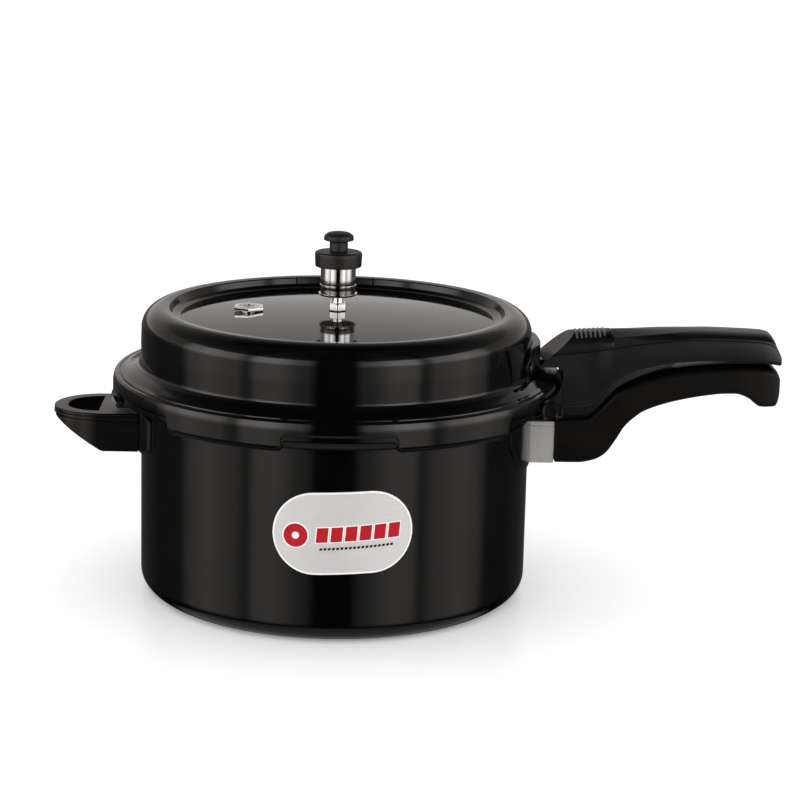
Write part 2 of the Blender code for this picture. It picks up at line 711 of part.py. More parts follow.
def lid_handle(pivot):
    start = 113.5
    low = in_mm([
        (start, 109.6), (140, 109.6), (145, 111), (149, 115), (155.8, 123.3), (164, 128.4),
        (173.5, 131.9), (189, 135), (210, 136.5), (232, 136.5), (251, 134.6),
    ])
    ridge = in_mm([
        (start, 138), (130, 138.4), (148, 141), (176, 146.4), (204, 149), (232, 148.7),
        (246, 147.2), (251, 137),
    ])
    crest = in_mm([
        (start, 149.6), (130, 149.8), (146, 151), (175, 152.2), (205, 152.8), (232, 152.3),
        (244, 151.9), (247, 148.2), (251, 138),
    ])
    width = in_mm([(start, 15), (240, 15), (251, 13.5)])
    facet = [(105 * MM, 124.8 * MM), (140 * MM, 160.4 * MM), (105 * MM, 160.4 * MM)]
    outer = SADDLE_RADIUS + GAP
    pad = PAD_RADIUS + GAP
    top = LID_TONGUE[0] - GAP
    relief = turned([
        (0, 100 * MM), (outer, 100 * MM), (outer, top), (pad, top), (pad, 160 * MM), (0, 160 * MM),
    ])
    bottom, ceiling, end = LID_TONGUE
    slot_half = LID_TONGUE_HALF_WIDTH + GAP
    slot = block((105 * MM, -slot_half, bottom - 1.2 * MM), (end + GAP, slot_half, ceiling + GAP))
    steps = [cut(sideways(facet, 20 * MM)), cut(relief), cut(slot)]
    for x, head in zip(LID_SCREWS, LID_SCREW_HEADS):
        steps.append(screw_hole(x, 100 * MM, head + SCREW_HEAD_HEIGHT, LID_SCREW_TOP + 0.5 * MM))
    body = long_handle(low, ridge, crest, width, 1.5 * MM)
    return finish(combined("lid_handle", body, steps), phenolic("lid_handle_finish"), pivot)


def lid_handle_screws(pivot):
    for end, x, head in zip(("front", "rear"), LID_SCREWS, LID_SCREW_HEADS):
        screw("lid_handle_screw_" + end, x, head, LID_SCREW_TOP, steel("lid_screw_" + end), pivot)


def lid_rivets(pivot):
    outside = DRUM_RADIUS + GAP + PLATE
    for name, degrees in zip(("lid_rivet_right", "lid_rivet_left"), LID_RIVET_ANGLES):
        surface = aluminium(name + "_finish")
        rivet(name, degrees, LID_RIVET_HEIGHT, outside, DRUM_RADIUS - LID_WALL, surface, pivot)


def vent_parts(pivot):
    """The hollow pipe through the lid's centre, its nut above and its washer below."""
    pipe = [
        (VENT_BORE, 151.4 * MM), (6 * MM, 151.4 * MM), (6 * MM, 153.6 * MM), (VENT_PIPE, 153.6 * MM),
        (VENT_PIPE, VENT_TOP - 1.5 * MM), (VENT_PIPE - MM, VENT_TOP), (VENT_BORE, VENT_TOP),
    ]
    plain("vent_pipe", turned(pipe, SMALL_STEPS, ring=True), steel("vent_pipe_finish"), pivot)
    nut = combined("vent_pipe_nut", hexagon(5.6 * MM, 159.3 * MM, 163.9 * MM, 0.5 * MM), [
        cut(rod(VENT_HOLE, 155 * MM, 170 * MM)),
    ])
    finish(nut, chrome("vent_nut_finish"), pivot)
    washer = [
        (VENT_HOLE, 153.9 * MM), (6.5 * MM, 153.9 * MM), (6.5 * MM, 155.6 * MM), (VENT_HOLE, 155.6 * MM),
    ]
    ring = turned(washer, SMALL_STEPS, ring=True)
    plain("vent_pipe_washer", ring, rubber("vent_washer_finish"), pivot)


def valve_parts(pivot):
    """The safety valve: a hexagonal body through the lid, a plug, a washer and a nut."""
    shank = rod(VALVE_SHANK, 148 * MM, 159 * MM)
    bore = stepped_rod(VALVE_BORE, VALVE_SEAT, 140 * MM, 159.6 * MM, 170 * MM, SMALL_STEPS)
    pin_holes = []
    for y in (-5.6 * MM, 5.6 * MM):
        pin_holes.append(cut(moved(rod(0.8 * MM, 159.8 * MM, 163 * MM, 8), 0, y)))
    head = hexagon(8.8 * MM, 158.6 * MM, 161.4 * MM, 0.5 * MM)
    body = combined("safety_valve_body", head, [join(shank), cut(bore), *pin_holes])
    body.data.transform(Matrix.Translation((VALVE_X, 0, 0)))
    finish(body, chrome("valve_finish"), pivot)
    plug = [
        (0, 150 * MM), (VALVE_BORE - GAP, 150 * MM), (VALVE_BORE - GAP, 159.9 * MM),
        (VALVE_SEAT - GAP, 159.9 * MM), (VALVE_SEAT - GAP, 161 * MM), (0, 161.3 * MM),
    ]
    surface = material("plug_finish", (0.55, 0.55, 0.57), 0.4, 1.0)
    plain("safety_valve_plug", moved(turned(plug, SMALL_STEPS), VALVE_X), surface, pivot)
    hole = VALVE_SHANK + GAP
    washer = [(hole, 152.3 * MM), (8 * MM, 152.3 * MM), (8 * MM, 153.8 * MM), (hole, 153.8 * MM)]
    ring = moved(turned(washer, SMALL_STEPS, ring=True), VALVE_X)
    plain("safety_valve_washer", ring, rubber("valve_washer_finish"), pivot)
    nut = combined("safety_valve_nut", hexagon(8.6 * MM, 149 * MM, 152 * MM, 0.4 * MM), [
        cut(rod(hole, 140 * MM, 160 * MM)),
    ])
    nut.data.transform(Matrix.Translation((VALVE_X, 0, 0)))
    finish(nut, steel("valve_nut_finish"), pivot)


# ---------------------------------------------------------------- weight
def weight_parts(pivot):
    """The pressure weight: a sleeve round a heavy core, a cap, a knob, a stud and a spring clip."""
    bottom = WEIGHT_BOTTOM
    top = SLEEVE_TOP
    ceiling = top - SLEEVE_WALL
    shell = [
        (9 * MM, bottom), (10.6 * MM, bottom), (10.9 * MM, 169 * MM), (10.8 * MM, 170.2 * MM),
        (10.1 * MM, 170.7 * MM), (10.1 * MM, 173.6 * MM), (10.6 * MM, 174.2 * MM),
        (SLEEVE_RADIUS, 174.8 * MM), (SLEEVE_RADIUS, top), (SCREW_RADIUS + GAP, top),
        (SCREW_RADIUS + GAP, ceiling), (9 * MM, ceiling),
    ]
    plain("weight_shell", turned(shell, SLEEVE_STEPS, ring=True), chrome("shell_finish"), pivot)
    core_top = ceiling - GAP
    core_bottom = bottom + 0.4 * MM
    groove_low, groove_high = CLIP_GROOVE
    core = [
        (0, core_top), (1.7 * MM, core_top), (CORE_RADIUS, core_top), (CORE_RADIUS, core_bottom),
        (CORE_BORE, core_bottom), (CORE_BORE, groove_low), (5.2 * MM, groove_low),
        (5.2 * MM, groove_high), (CORE_BORE, groove_high), (CORE_BORE, 176.5 * MM),
        (0.9 * MM, 178.5 * MM), (0, 178.5 * MM),
    ]
    stud_hole = rod(SCREW_RADIUS + GAP, STUD_BOTTOM - 0.4 * MM, 190 * MM, TINY_STEPS)
    block_core = combined("weight_core", turned(core, SLEEVE_STEPS), [cut(stud_hole)])
    finish(block_core, material("core_finish", (0.5, 0.42, 0.25), 0.4, 1.0), pivot)
    stud = rod(SCREW_RADIUS, STUD_BOTTOM, STUD_TOP, TINY_STEPS)
    plain("weight_spindle", stud, steel("spindle_finish"), pivot)
    recess = SLEEVE_RADIUS + GAP
    hole = SCREW_RADIUS + GAP
    cap = [
        (recess, CAP_BOTTOM), (CAP_RADIUS - 0.5 * MM, CAP_BOTTOM), (CAP_RADIUS, CAP_BOTTOM + 0.7 * MM),
        (CAP_RADIUS, CAP_TOP - 1.5 * MM), (CAP_RADIUS - 1.3 * MM, CAP_TOP), (hole, CAP_TOP),
        (hole, top + GAP), (recess, top + GAP),
    ]
    plain("weight_cap", turned(cap, SLEEVE_STEPS, ring=True), phenolic("cap_finish"), pivot)
    neck = 5.15 * MM
    knob = [(0, KNOB_BOTTOM), (neck, KNOB_BOTTOM), (neck, 198.6 * MM), (8.1 * MM, 199.2 * MM)]
    knob += [(KNOB_RADIUS, 199.8 * MM), (KNOB_RADIUS, 201 * MM), (6.4 * MM, 203 * MM)]
    knob += [(3.4 * MM, 203.8 * MM), (0, KNOB_TOP)]
    stud_seat = rod(hole, 190 * MM, STUD_TOP + 0.4 * MM, TINY_STEPS)
    button = combined("weight_knob", turned(knob, SLEEVE_STEPS), [cut(stud_seat)])
    finish(button, phenolic("knob_finish"), pivot)


def weight_clip(pivot):
    """A split spring ring that grips the vent pipe inside the weight's groove."""
    inner = VENT_PIPE + GAP
    outer = 4.9 * MM
    low = CLIP_GROOVE[0] + 0.4 * MM
    high = CLIP_GROOVE[1] - 0.4 * MM
    loop = [(inner, low), (outer, low), (outer, high), (inner, high)]
    body = sector(lambda offset: loop, 0, 160, 16)
    return plain("weight_clip", body, steel("clip_finish"), pivot)


# ---------------------------------------------------------------- assembly
def main():
    for thing in list(bpy.data.objects):
        bpy.data.objects.remove(thing)
    lid_pivot = joint_empty("lid_pivot", RIM_TOP)
    weight_pivot = joint_empty("weight_pivot", WEIGHT_BOTTOM)
    pot_body()
    label_plate()
    body_handle_bracket()
    body_handle()
    body_handle_screws()
    helper_bracket()
    helper_handle()
    helper_screw()
    pot_rivet_set()
    gasket(lid_pivot)
    lid_shell(lid_pivot)
    lid_handle_bracket(lid_pivot)
    lid_handle(lid_pivot)
    lid_handle_screws(lid_pivot)
    lid_rivets(lid_pivot)
    vent_parts(lid_pivot)
    valve_parts(lid_pivot)
    weight_clip(weight_pivot)
    weight_parts(weight_pivot)


main()
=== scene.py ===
"""Looks of the stovetop pressure cooker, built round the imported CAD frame.

Lengths are in metres in the frame's axes: origin under the pot's centre, +Z up, +X towards the
long handles. Angles are in degrees about +Z from +X, unless a name says radians.
"""
import math

import bmesh
import bpy
from mathutils import Matrix, Vector


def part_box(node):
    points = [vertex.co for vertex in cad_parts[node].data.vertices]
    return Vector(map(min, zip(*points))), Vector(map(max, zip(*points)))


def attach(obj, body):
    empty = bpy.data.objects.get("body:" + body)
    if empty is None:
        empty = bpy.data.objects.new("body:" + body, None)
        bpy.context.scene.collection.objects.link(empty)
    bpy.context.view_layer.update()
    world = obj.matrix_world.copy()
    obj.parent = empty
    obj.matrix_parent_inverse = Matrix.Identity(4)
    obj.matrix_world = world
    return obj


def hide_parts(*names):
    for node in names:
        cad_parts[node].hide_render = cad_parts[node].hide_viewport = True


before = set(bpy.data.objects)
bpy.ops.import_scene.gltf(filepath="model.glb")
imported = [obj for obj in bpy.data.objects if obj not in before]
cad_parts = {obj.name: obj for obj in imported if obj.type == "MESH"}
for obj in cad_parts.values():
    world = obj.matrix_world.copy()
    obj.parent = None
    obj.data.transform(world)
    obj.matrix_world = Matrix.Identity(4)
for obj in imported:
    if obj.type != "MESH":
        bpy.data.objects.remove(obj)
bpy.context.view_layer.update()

MM = 0.001
GAP = 0.3 * MM
FINE = 240                  # facets of the large turned pieces
SMALL = 72                  # facets of the small turned pieces
LUG_PITCH = 60
TONGUE_HALF = 13
NOTCH_HALF = 14
POT_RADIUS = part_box("pot_body")[1].x - 12 * MM
SKIRT_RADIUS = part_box("lid_shell")[1].x
SKIRT_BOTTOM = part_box("lid_shell")[0].z
VALVE_X = (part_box("safety_valve_body")[0].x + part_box("safety_valve_body")[1].x) / 2
FRONT = -90
LID_RIVET_ANGLE = 16.5
LID_RIVET_HEIGHT = 134.5 * MM


# ---------------------------------------------------------------- shapes
def polar(radius, degrees, height):
    angle = math.radians(degrees)
    return Vector((radius * math.cos(angle), radius * math.sin(angle), height))


def full_turn(steps):
    return [360 * i / steps for i in range(steps)]


def between(points, x):
    """The value at x on the straight runs through (x, value) points."""
    for (x0, v0), (x1, v1) in zip(points, points[1:]):
        if x <= x1:
            return v0 + (v1 - v0) * max(0.0, (x - x0) / (x1 - x0))
    return points[-1][1]


def curve(points):
    """A smooth function through (x, value) points that never overshoots them."""
    slopes = [(v1 - v0) / (x1 - x0) for (x0, v0), (x1, v1) in zip(points, points[1:])]
    tangents = [slopes[0]]
    for a, b in zip(slopes, slopes[1:]):
        tangents.append(2 * a * b / (a + b) if a * b > 0 else 0.0)
    tangents.append(slopes[-1])

    def value(x):
        x = min(max(x, points[0][0]), points[-1][0])
        i = 0
        while i < len(points) - 2 and x > points[i + 1][0]:
            i += 1
        (x0, v0), (x1, v1) = points[i], points[i + 1]
        width = x1 - x0
        t = (x - x0) / width
        bend0 = tangents[i] * width
        bend1 = tangents[i + 1] * width
        rise = v1 - v0
        square = 3 * rise - 2 * bend0 - bend1
        cube = bend0 + bend1 - 2 * rise
        return v0 + bend0 * t + square * t ** 2 + cube * t ** 3

    return value


def in_mm(rows):
    """Rows of numbers given in millimetres, in metres."""
    return [tuple(value * MM for value in row) for row in rows]


def heights(points):
    """A smooth function through (degrees, millimetres) points, with values in metres."""
    return curve([(x, value * MM) for x, value in points])


def smooth_step(low, high, x):
    t = min(max((x - low) / (high - low), 0.0), 1.0)
    return t * t * (3 - 2 * t)


def filleted(corners, bend=6, closed=False):
    """A path through (a, b, radius) corners, each rounded by an arc of its radius."""
    path = []
    count = len(corners)
    for i, (a, b, radius) in enumerate(corners):
        corner = Vector((a, b))
        if radius == 0 or (not closed and i in (0, count - 1)):
            path.append((a, b))
            continue
        before = Vector(corners[i - 1][:2]) - corner
        after = Vector(corners[(i + 1) % count][:2]) - corner
        half = before.angle(after) / 2
        reach = min(radius / math.tan(half), 0.49 * before.length, 0.49 * after.length)
        size = reach * math.tan(half)
        centre = corner + (before.normalized() + after.normalized()).normalized() * (size / math.sin(half))
        start = corner + before.normalized() * reach - centre
        end = corner + after.normalized() * reach - centre
        first = math.atan2(start.y, start.x)
        turn = (math.atan2(end.y, end.x) - first + math.pi) % (2 * math.pi) - math.pi
        for k in range(bend + 1):
            angle = first + turn * k / bend
            path.append((centre.x + size * math.cos(angle), centre.y + size * math.sin(angle)))
    return path


def ellipse(centre_r, centre_z, size_r, size_z, start, end, count):
    points = []
    for i in range(count + 1):
        angle = math.radians(start + (end - start) * i / count)
        points.append((centre_r + size_r * math.cos(angle), centre_z + size_z * math.sin(angle), 0))
    return points


def mesh_of(points, faces):
    mesh = bpy.data.meshes.new("shape")
    mesh.from_pydata([tuple(p) for p in points], [], faces)
    body = bmesh.new()
    body.from_mesh(mesh)
    bmesh.ops.recalc_face_normals(body, faces=body.faces)
    body.to_mesh(mesh)
    body.free()
    return mesh


def skin(sections, ring=False):
    """A closed body through sections of points. A section of one point closes to a tip."""
    points = []
    rows = []
    faces = []
    for section in sections:
        rows.append(range(len(points), len(points) + len(section)))
        points.extend(section)
    pairs = list(zip(rows, rows[1:]))
    if ring:
        pairs.append((rows[-1], rows[0]))
    for first, second in pairs:
        count = max(len(first), len(second))
        for i in range(count):
            j = (i + 1) % count
            loop = [
                first[i % len(first)], first[j % len(first)],
                second[j % len(second)], second[i % len(second)],
            ]
            loop = list(dict.fromkeys(loop))
            if len(loop) > 2:
                faces.append(loop)
    if not ring:
        faces += [list(end) for end in (rows[0], rows[-1]) if len(end) > 2]
    return mesh_of(points, faces)


def turned(profile, steps=FINE, ring=False, angles=None):
    """Turned about Z. profile is a list of (radius, height), or a function of the angle giving one."""
    angles = angles or full_turn(steps)
    stations = [profile(angle) if callable(profile) else profile for angle in angles]
    sections = []
    for i, (radius, height) in enumerate(stations[0]):
        if radius == 0:
            sections.append([Vector((0, 0, height))])
        else:
            sections.append([polar(s[i][0], angle, s[i][1]) for angle, s in zip(angles, stations)])
    return skin(sections, ring)


def swept(loop_at, centre, half, pitch):
    """A band about Z through closed (radius, height) loops, given by the offset from its middle."""
    count = max(2, math.ceil(2 * half / pitch))
    sections = []
    for i in range(count + 1):
        offset = -half + 2 * half * i / count
        sections.append([polar(r, centre + offset, z) for r, z in loop_at(offset)])
    return skin(sections)


def layered(outline_of, levels):
    """A body through the (x, y) outlines that outline_of gives for the inset of each (height, inset)."""
    return skin([[Vector((x, y, z)) for x, y in outline_of(inset)] for z, inset in levels])


def prism(outline, low, high):
    return layered(lambda _: outline, ((low, 0), (high, 0)))


def sideways(outline, half_width):
    return skin([[Vector((x, y, z)) for x, z in outline] for y in (-half_width, half_width)])


def rod(radius, low, high, steps=SMALL):
    return turned([(0, low), (radius, low), (radius, high), (0, high)], steps)


def box(low, high):
    corners = [(low[0], low[1]), (high[0], low[1]), (high[0], high[1]), (low[0], high[1])]
    return prism(corners, low[2], high[2])


def moved(mesh, x=0.0, y=0.0, z=0.0):
    mesh.transform(Matrix.Translation((x, y, z)))
    return mesh


def pointed_outwards(mesh, degrees, height):
    turn = Matrix.Rotation(math.radians(degrees), 4, "Z") @ Matrix.Rotation(math.pi / 2, 4, "Y")
    mesh.transform(Matrix.Translation((0, 0, height)) @ turn)
    return mesh


def together(*meshes):
    whole = bmesh.new()
    for mesh in meshes:
        whole.from_mesh(mesh)
    made = bpy.data.meshes.new("shape")
    whole.to_mesh(made)
    whole.free()
    return made


def carved(mesh, *steps):
    """Applies (operation, mesh) pairs in turn, with exact Booleans."""
    target = bpy.data.objects.new("target", mesh)
    bpy.context.scene.collection.objects.link(target)
    for operation, other in steps:
        tool = bpy.data.objects.new("tool", other)
        bpy.context.scene.collection.objects.link(tool)
        cut = target.modifiers.new("cut", "BOOLEAN")
        cut.operation = operation
        cut.solver = "EXACT"
        cut.object = tool
        bpy.context.view_layer.update()
        evaluated = target.evaluated_get(bpy.context.evaluated_depsgraph_get())
        result = bpy.data.meshes.new_from_object(evaluated)
        target.modifiers.remove(cut)
        target.data = result
        bpy.data.objects.remove(tool)
    mesh = target.data
    bpy.data.objects.remove(target)
    return mesh


def cut(*meshes):
    return ("DIFFERENCE", together(*meshes))


def join(*meshes):
    return ("UNION", together(*meshes))


def piece(name, mesh, finish, body, slot, *nodes, sharp=32):
    """Makes an object of a mesh that rides on a body and stands for CAD nodes."""
    mesh.name = name
    mesh.materials.clear()
    mesh.materials.append(finish)
    mesh.shade_smooth()
    mesh.set_sharp_from_angle(angle=math.radians(sharp))
    thing = bpy.data.objects.new(name, mesh)
    bpy.context.scene.collection.objects.link(thing)
    weighted = thing.modifiers.new("weighted_normals", "WEIGHTED_NORMAL")
    weighted.keep_sharp = True
    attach(thing, body)
    if nodes:
        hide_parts(*nodes)
    return thing


# ---------------------------------------------------------------- materials
def surface(name, **values):
    """A Principled material. Keyword names are its sockets, with _ for a space."""
    made = bpy.data.materials.new(name)
    made.use_nodes = True
    shader = made.node_tree.nodes["Principled BSDF"]
    for socket, value in values.items():
        shader.inputs[socket.replace("_", " ")].default_value = value
    return made


def add(tree, kind, inputs=None, **settings):
    """Adds a node. inputs maps a socket's name or number to a value or to another node's output."""
    made = tree.nodes.new(kind)
    for setting, value in settings.items():
        setattr(made, setting, value)
    for socket, value in (inputs or {}).items():
        if isinstance(value, bpy.types.NodeSocket):
            tree.links.new(value, made.inputs[socket])
        else:
            made.inputs[socket].default_value = value
    return made


def place(tree):
    """Position on the piece at rest, in metres."""
    return add(tree, "ShaderNodeTexCoord").outputs["Object"]


def stretched(tree, scale):
    """Position with each axis scaled, to draw a pattern out along one of them."""
    node = add(tree, "ShaderNodeVectorMath", {0: place(tree), 1: scale}, operation="MULTIPLY")
    return node.outputs[0]


def rings(tree):
    """Distance from Z plus height: one value per lathe line on a turned surface."""
    split = add(tree, "ShaderNodeSeparateXYZ", {0: place(tree)})
    flat = add(tree, "ShaderNodeCombineXYZ", {0: split.outputs[0], 1: split.outputs[1]})
    reach = add(tree, "ShaderNodeVectorMath", {0: flat.outputs[0]}, operation="LENGTH")
    return add(tree, "ShaderNodeMath", {0: reach.outputs["Value"], 1: split.outputs[2]}).outputs[0]


def noise(tree, scale, detail=3.0, vector=None, rough=0.5):
    return add(tree, "ShaderNodeTexNoise", {
        "Vector": vector or place(tree), "Scale": scale, "Detail": detail, "Roughness": rough,
    }).outputs[0]


def line_noise(tree, value, scale, detail=4.0):
    """Noise along one value, which draws lines where that value is the same."""
    return add(tree, "ShaderNodeTexNoise", {
        "W": value, "Scale": scale, "Detail": detail, "Roughness": 0.6,
    }, noise_dimensions="1D").outputs[0]


def ranged(tree, value, low, high, start=0.3, end=0.7):
    return add(tree, "ShaderNodeMapRange", {
        "Value": value, "From Min": start, "From Max": end, "To Min": low, "To Max": high,
    }).outputs[0]


def tinted(tree, value, dark, light):
    """A colour between two, by a value from 0 to 1."""
    mixed = add(tree, "ShaderNodeMix", {0: value, 6: (*dark, 1), 7: (*light, 1)}, data_type="RGBA")
    return mixed.outputs[2]


def bump(tree, height, strength, distance, under=None):
    inputs = {"Height": height, "Strength": strength, "Distance": distance}
    if under:
        inputs["Normal"] = under
    return add(tree, "ShaderNodeBump", inputs).outputs[0]


def wire(material, **links):
    shader = material.node_tree.nodes["Principled BSDF"]
    for socket, output in links.items():
        material.node_tree.links.new(output, shader.inputs[socket.replace("_", " ")])
    return material


def anodised(name, low=0.07, high=0.13, grain=0.035, ior=1.385):
    """Glossy black anodised aluminium with faint lathe lines and a slightly uneven film."""
    made = surface(name, Metallic=0.0, IOR=ior)
    tree = made.node_tree
    film = ranged(tree, noise(tree, 38, 4), 0, 1)
    lines = line_noise(tree, rings(tree), 1400)
    pits = noise(tree, 2600, 2)
    relief = bump(tree, pits, grain * 0.6, 0.02 * MM, bump(tree, lines, grain, 0.03 * MM))
    return wire(
        made,
        Base_Color=tinted(tree, film, (0.0010, 0.0009, 0.0008), (0.0021, 0.0019, 0.0017)),
        Roughness=ranged(tree, noise(tree, 24, 5), low, high),
        Normal=relief,
    )


def phenolic(name, dark, light, low=0.3, high=0.42, ior=1.5):
    """Moulded phenolic resin: a fine orange-peel skin over a slightly mottled black."""
    made = surface(name, IOR=ior)
    tree = made.node_tree
    mottle = ranged(tree, noise(tree, 120, 5, rough=0.65), 0, 1)
    peel = noise(tree, 900, 3)
    flow = noise(tree, 60, 4, stretched(tree, (0.35, 1.0, 1.0)))
    return wire(
        made,
        Base_Color=tinted(tree, mottle, dark, light),
        Roughness=ranged(tree, flow, low, high),
        Normal=bump(tree, peel, 0.12, 0.05 * MM),
    )


def brushed(name, dark, light, low, high, scale, strength=0.25, metal=1.0):
    """Brushed metal: its streaks run along the axes with a small scale."""
    made = surface(name, Metallic=metal)
    tree = made.node_tree
    streak = noise(tree, 1000, 4, stretched(tree, scale), 0.7)
    cloud = noise(tree, 90, 3)
    return wire(
        made,
        Base_Color=tinted(tree, ranged(tree, streak, 0, 1), dark, light),
        Roughness=ranged(tree, cloud, low, high),
        Normal=bump(tree, streak, strength, 0.02 * MM),
    )


def chrome(name, low=0.04, high=0.1):
    """Polished plate with faint turned lines and handling marks."""
    made = surface(name, Metallic=1.0)
    tree = made.node_tree
    smudge = noise(tree, 160, 5)
    lines = line_noise(tree, rings(tree), 2200, 2)
    return wire(
        made,
        Base_Color=tinted(tree, ranged(tree, smudge, 0, 1), (0.74, 0.73, 0.72), (0.84, 0.83, 0.82)),
        Roughness=ranged(tree, smudge, low, high),
        Normal=bump(tree, lines, 0.05, 0.01 * MM),
    )


def rubber(name):
    made = surface(name, IOR=1.45)
    tree = made.node_tree
    bloom = ranged(tree, noise(tree, 70, 5), 0, 1)
    return wire(
        made,
        Base_Color=tinted(tree, bloom, (0.045, 0.045, 0.047), (0.075, 0.074, 0.073)),
        Roughness=ranged(tree, noise(tree, 220, 3), 0.55, 0.75),
        Normal=bump(tree, noise(tree, 1500, 2), 0.2, 0.05 * MM),
    )


def printed(name, dark, light):
    """Ink on foil: nearly one colour, with a slight mottle and an uneven gloss."""
    made = surface(name, Specular_IOR_Level=0.15)
    tree = made.node_tree
    speck = ranged(tree, noise(tree, 1400, 4), 0, 1)
    return wire(
        made,
        Base_Color=tinted(tree, speck, dark, light),
        Roughness=ranged(tree, noise(tree, 150, 2), 0.5, 0.65),
        Normal=bump(tree, speck, 0.05, 0.01 * MM),
    )


POT_FINISH = anodised("pot_black")
LID_FINISH = anodised("lid_black", 0.045, 0.07)
FITTING_FINISH = anodised("fitting_black", 0.16, 0.26, 0.08, 1.3)
LID_GRIP_FINISH = phenolic(
    "lid_grip_resin", (0.0022, 0.0021, 0.002), (0.0034, 0.0032, 0.003), 0.28, 0.36, 1.44)
BODY_GRIP_FINISH = phenolic(
    "body_grip_resin", (0.0016, 0.0013, 0.001), (0.003, 0.0025, 0.002), 0.26, 0.34, 1.32)
HELPER_FINISH = phenolic(
    "helper_grip_resin", (0.0016, 0.0014, 0.0012), (0.003, 0.0025, 0.002), 0.24, 0.32, 1.34)
CAP_FINISH = phenolic("cap_resin", (0.0035, 0.0034, 0.0032), (0.006, 0.0058, 0.0055), 0.42, 0.52)
# The ribs' resin is lighter than the grip's: a painted highlight for the light that the raised letters catch.
RIB_HIGHLIGHT_FINISH = phenolic("rib_resin_painted_highlight", (0.05, 0.048, 0.046), (0.08, 0.077, 0.074), 0.2, 0.3)
NECK_FINISH = brushed(
    "neck_steel", (0.52, 0.50, 0.485), (0.60, 0.58, 0.56), 0.3, 0.4, (1.0, 1.0, 0.03), 0.1, 0.35)
SCREW_FINISH = brushed("screw_steel", (0.5, 0.5, 0.5), (0.66, 0.66, 0.66), 0.25, 0.38, (1.0, 0.06, 1.0))
RIVET_FINISH = brushed("rivet_aluminium", (0.55, 0.55, 0.56), (0.72, 0.72, 0.72), 0.3, 0.45, (1.0, 1.0, 1.0))
CHROME_FINISH = chrome("chrome_plate")
NICKEL_FINISH = brushed(
    "dark_nickel", (0.05, 0.048, 0.045), (0.12, 0.115, 0.11), 0.12, 0.2, (1.0, 1.0, 0.1), 0.1)
ALLOY_FINISH = brushed("fusible_alloy", (0.34, 0.34, 0.36), (0.5, 0.5, 0.52), 0.35, 0.5, (1.0, 1.0, 1.0))
BRASS_FINISH = brushed("core_brass", (0.45, 0.33, 0.14), (0.62, 0.47, 0.22), 0.28, 0.42, (0.2, 0.2, 1.0))
RUBBER_FINISH = rubber("seal_rubber")


# ---------------------------------------------------------------- pot
def near_lug(degrees):
    """Offset in degrees to the nearest lug's middle."""
    return abs((degrees + LUG_PITCH / 2) % LUG_PITCH - LUG_PITCH / 2)


def pot_section(degrees):
    """The wall, floor and rim, whose flange reaches further out at the six tongues."""
    reach = 122 * MM - 6 * MM * smooth_step(TONGUE_HALF - 0.7, TONGUE_HALF + 0.5, near_lug(degrees))
    inner = POT_RADIUS - 3 * MM
    return filleted([
        (0, 0.6 * MM, 0), (84 * MM, 0.6 * MM, 4 * MM), (88 * MM, 0, 4 * MM),
        (POT_RADIUS, 0, 12.3 * MM), (POT_RADIUS, 107.6 * MM, 5 * MM), (113.4 * MM, 111.4 * MM, 2 * MM),
        (reach, 112 * MM, 0.6 * MM), (reach, 117.5 * MM, 0.9 * MM),
        (inner, 117.5 * MM, 0.8 * MM), (inner, 4 * MM, 9.3 * MM), (0, 4 * MM, 0),
    ], 8)


def edge_angles(half, step=1.5, fine=0.2, width=1.2):
    """Angles round the circle, closer together near the ends of each lug or notch."""
    offsets = [step * i for i in range(int(LUG_PITCH / step))]
    offsets = [o for o in offsets if all(abs(o - e) > width for e in (half, LUG_PITCH - half))]
    for edge in (half, LUG_PITCH - half):
        offsets += [edge - width + fine * i for i in range(int(2 * width / fine) + 1)]
    return [LUG_PITCH * k + o for k in range(6) for o in sorted(offsets)]


def pot():
    shell = turned(pot_section, angles=edge_angles(TONGUE_HALF))
    piece("pot_shell", shell, POT_FINISH, "pot", "black_anodised", "pot_body")


LABEL_CENTRE = FRONT + 2.7
LABEL_TILT = math.radians(2.2)
PRINT_TILT = math.radians(1.6)      # on top of the label's own tilt
LABEL_HEIGHT = 61.5 * MM


def on_wall(u, v, radius):
    """A point on the pot's wall, u along it and v up from the label's middle, both in metres."""
    c, s = math.cos(LABEL_TILT), math.sin(LABEL_TILT)
    along = u * c - v * s
    up = u * s + v * c
    return polar(radius, LABEL_CENTRE + math.degrees(along / POT_RADIUS), LABEL_HEIGHT + up)


def stadium(half_length, half_height, count=28):
    """Outline with straight top and bottom and round ends, about the origin."""
    middle = half_length - half_height
    points = []
    for side, first in ((1, -90), (-1, 90)):
        for i in range(count + 1):
            angle = math.radians(first + 180 * i / count)
            points.append((side * middle + half_height * math.cos(angle), half_height * math.sin(angle)))
    return points


def split_long(outline, longest=1.5 * MM):
    """The outline with points added on its long edges, so that it can follow a curved wall."""
    points = []
    for (u0, v0), (u1, v1) in zip(outline, outline[1:] + outline[:1]):
        count = max(1, math.ceil(math.hypot(u1 - u0, v1 - v0) / longest))
        points += [(u0 + (u1 - u0) * i / count, v0 + (v1 - v0) * i / count) for i in range(count)]
    return points


def sticker(outline, low, high, edge=0.0, rows=10):
    """A thin curved plate on the wall with this (u, v) outline, made of nested loops."""
    centre_u = sum(u for u, _ in outline) / len(outline)
    centre_v = sum(v for _, v in outline) / len(outline)

    def loop(share, radius):
        return [
            on_wall(centre_u + (u - centre_u) * share, centre_v + (v - centre_v) * share, radius)
            for u, v in outline
        ]

    shares = [1 - i / rows for i in range(rows)]
    back = [loop(share, low) for share in reversed(shares)]
    lip = [loop(1 - edge, high)] if edge else [loop(1, high)]
    front = [loop(share * (1 - edge), high) for share in shares[1:]]
    tips = [[on_wall(centre_u, centre_v, radius)] for radius in (low, high)]
    return skin([tips[0]] + back + lip + front + [tips[1]])


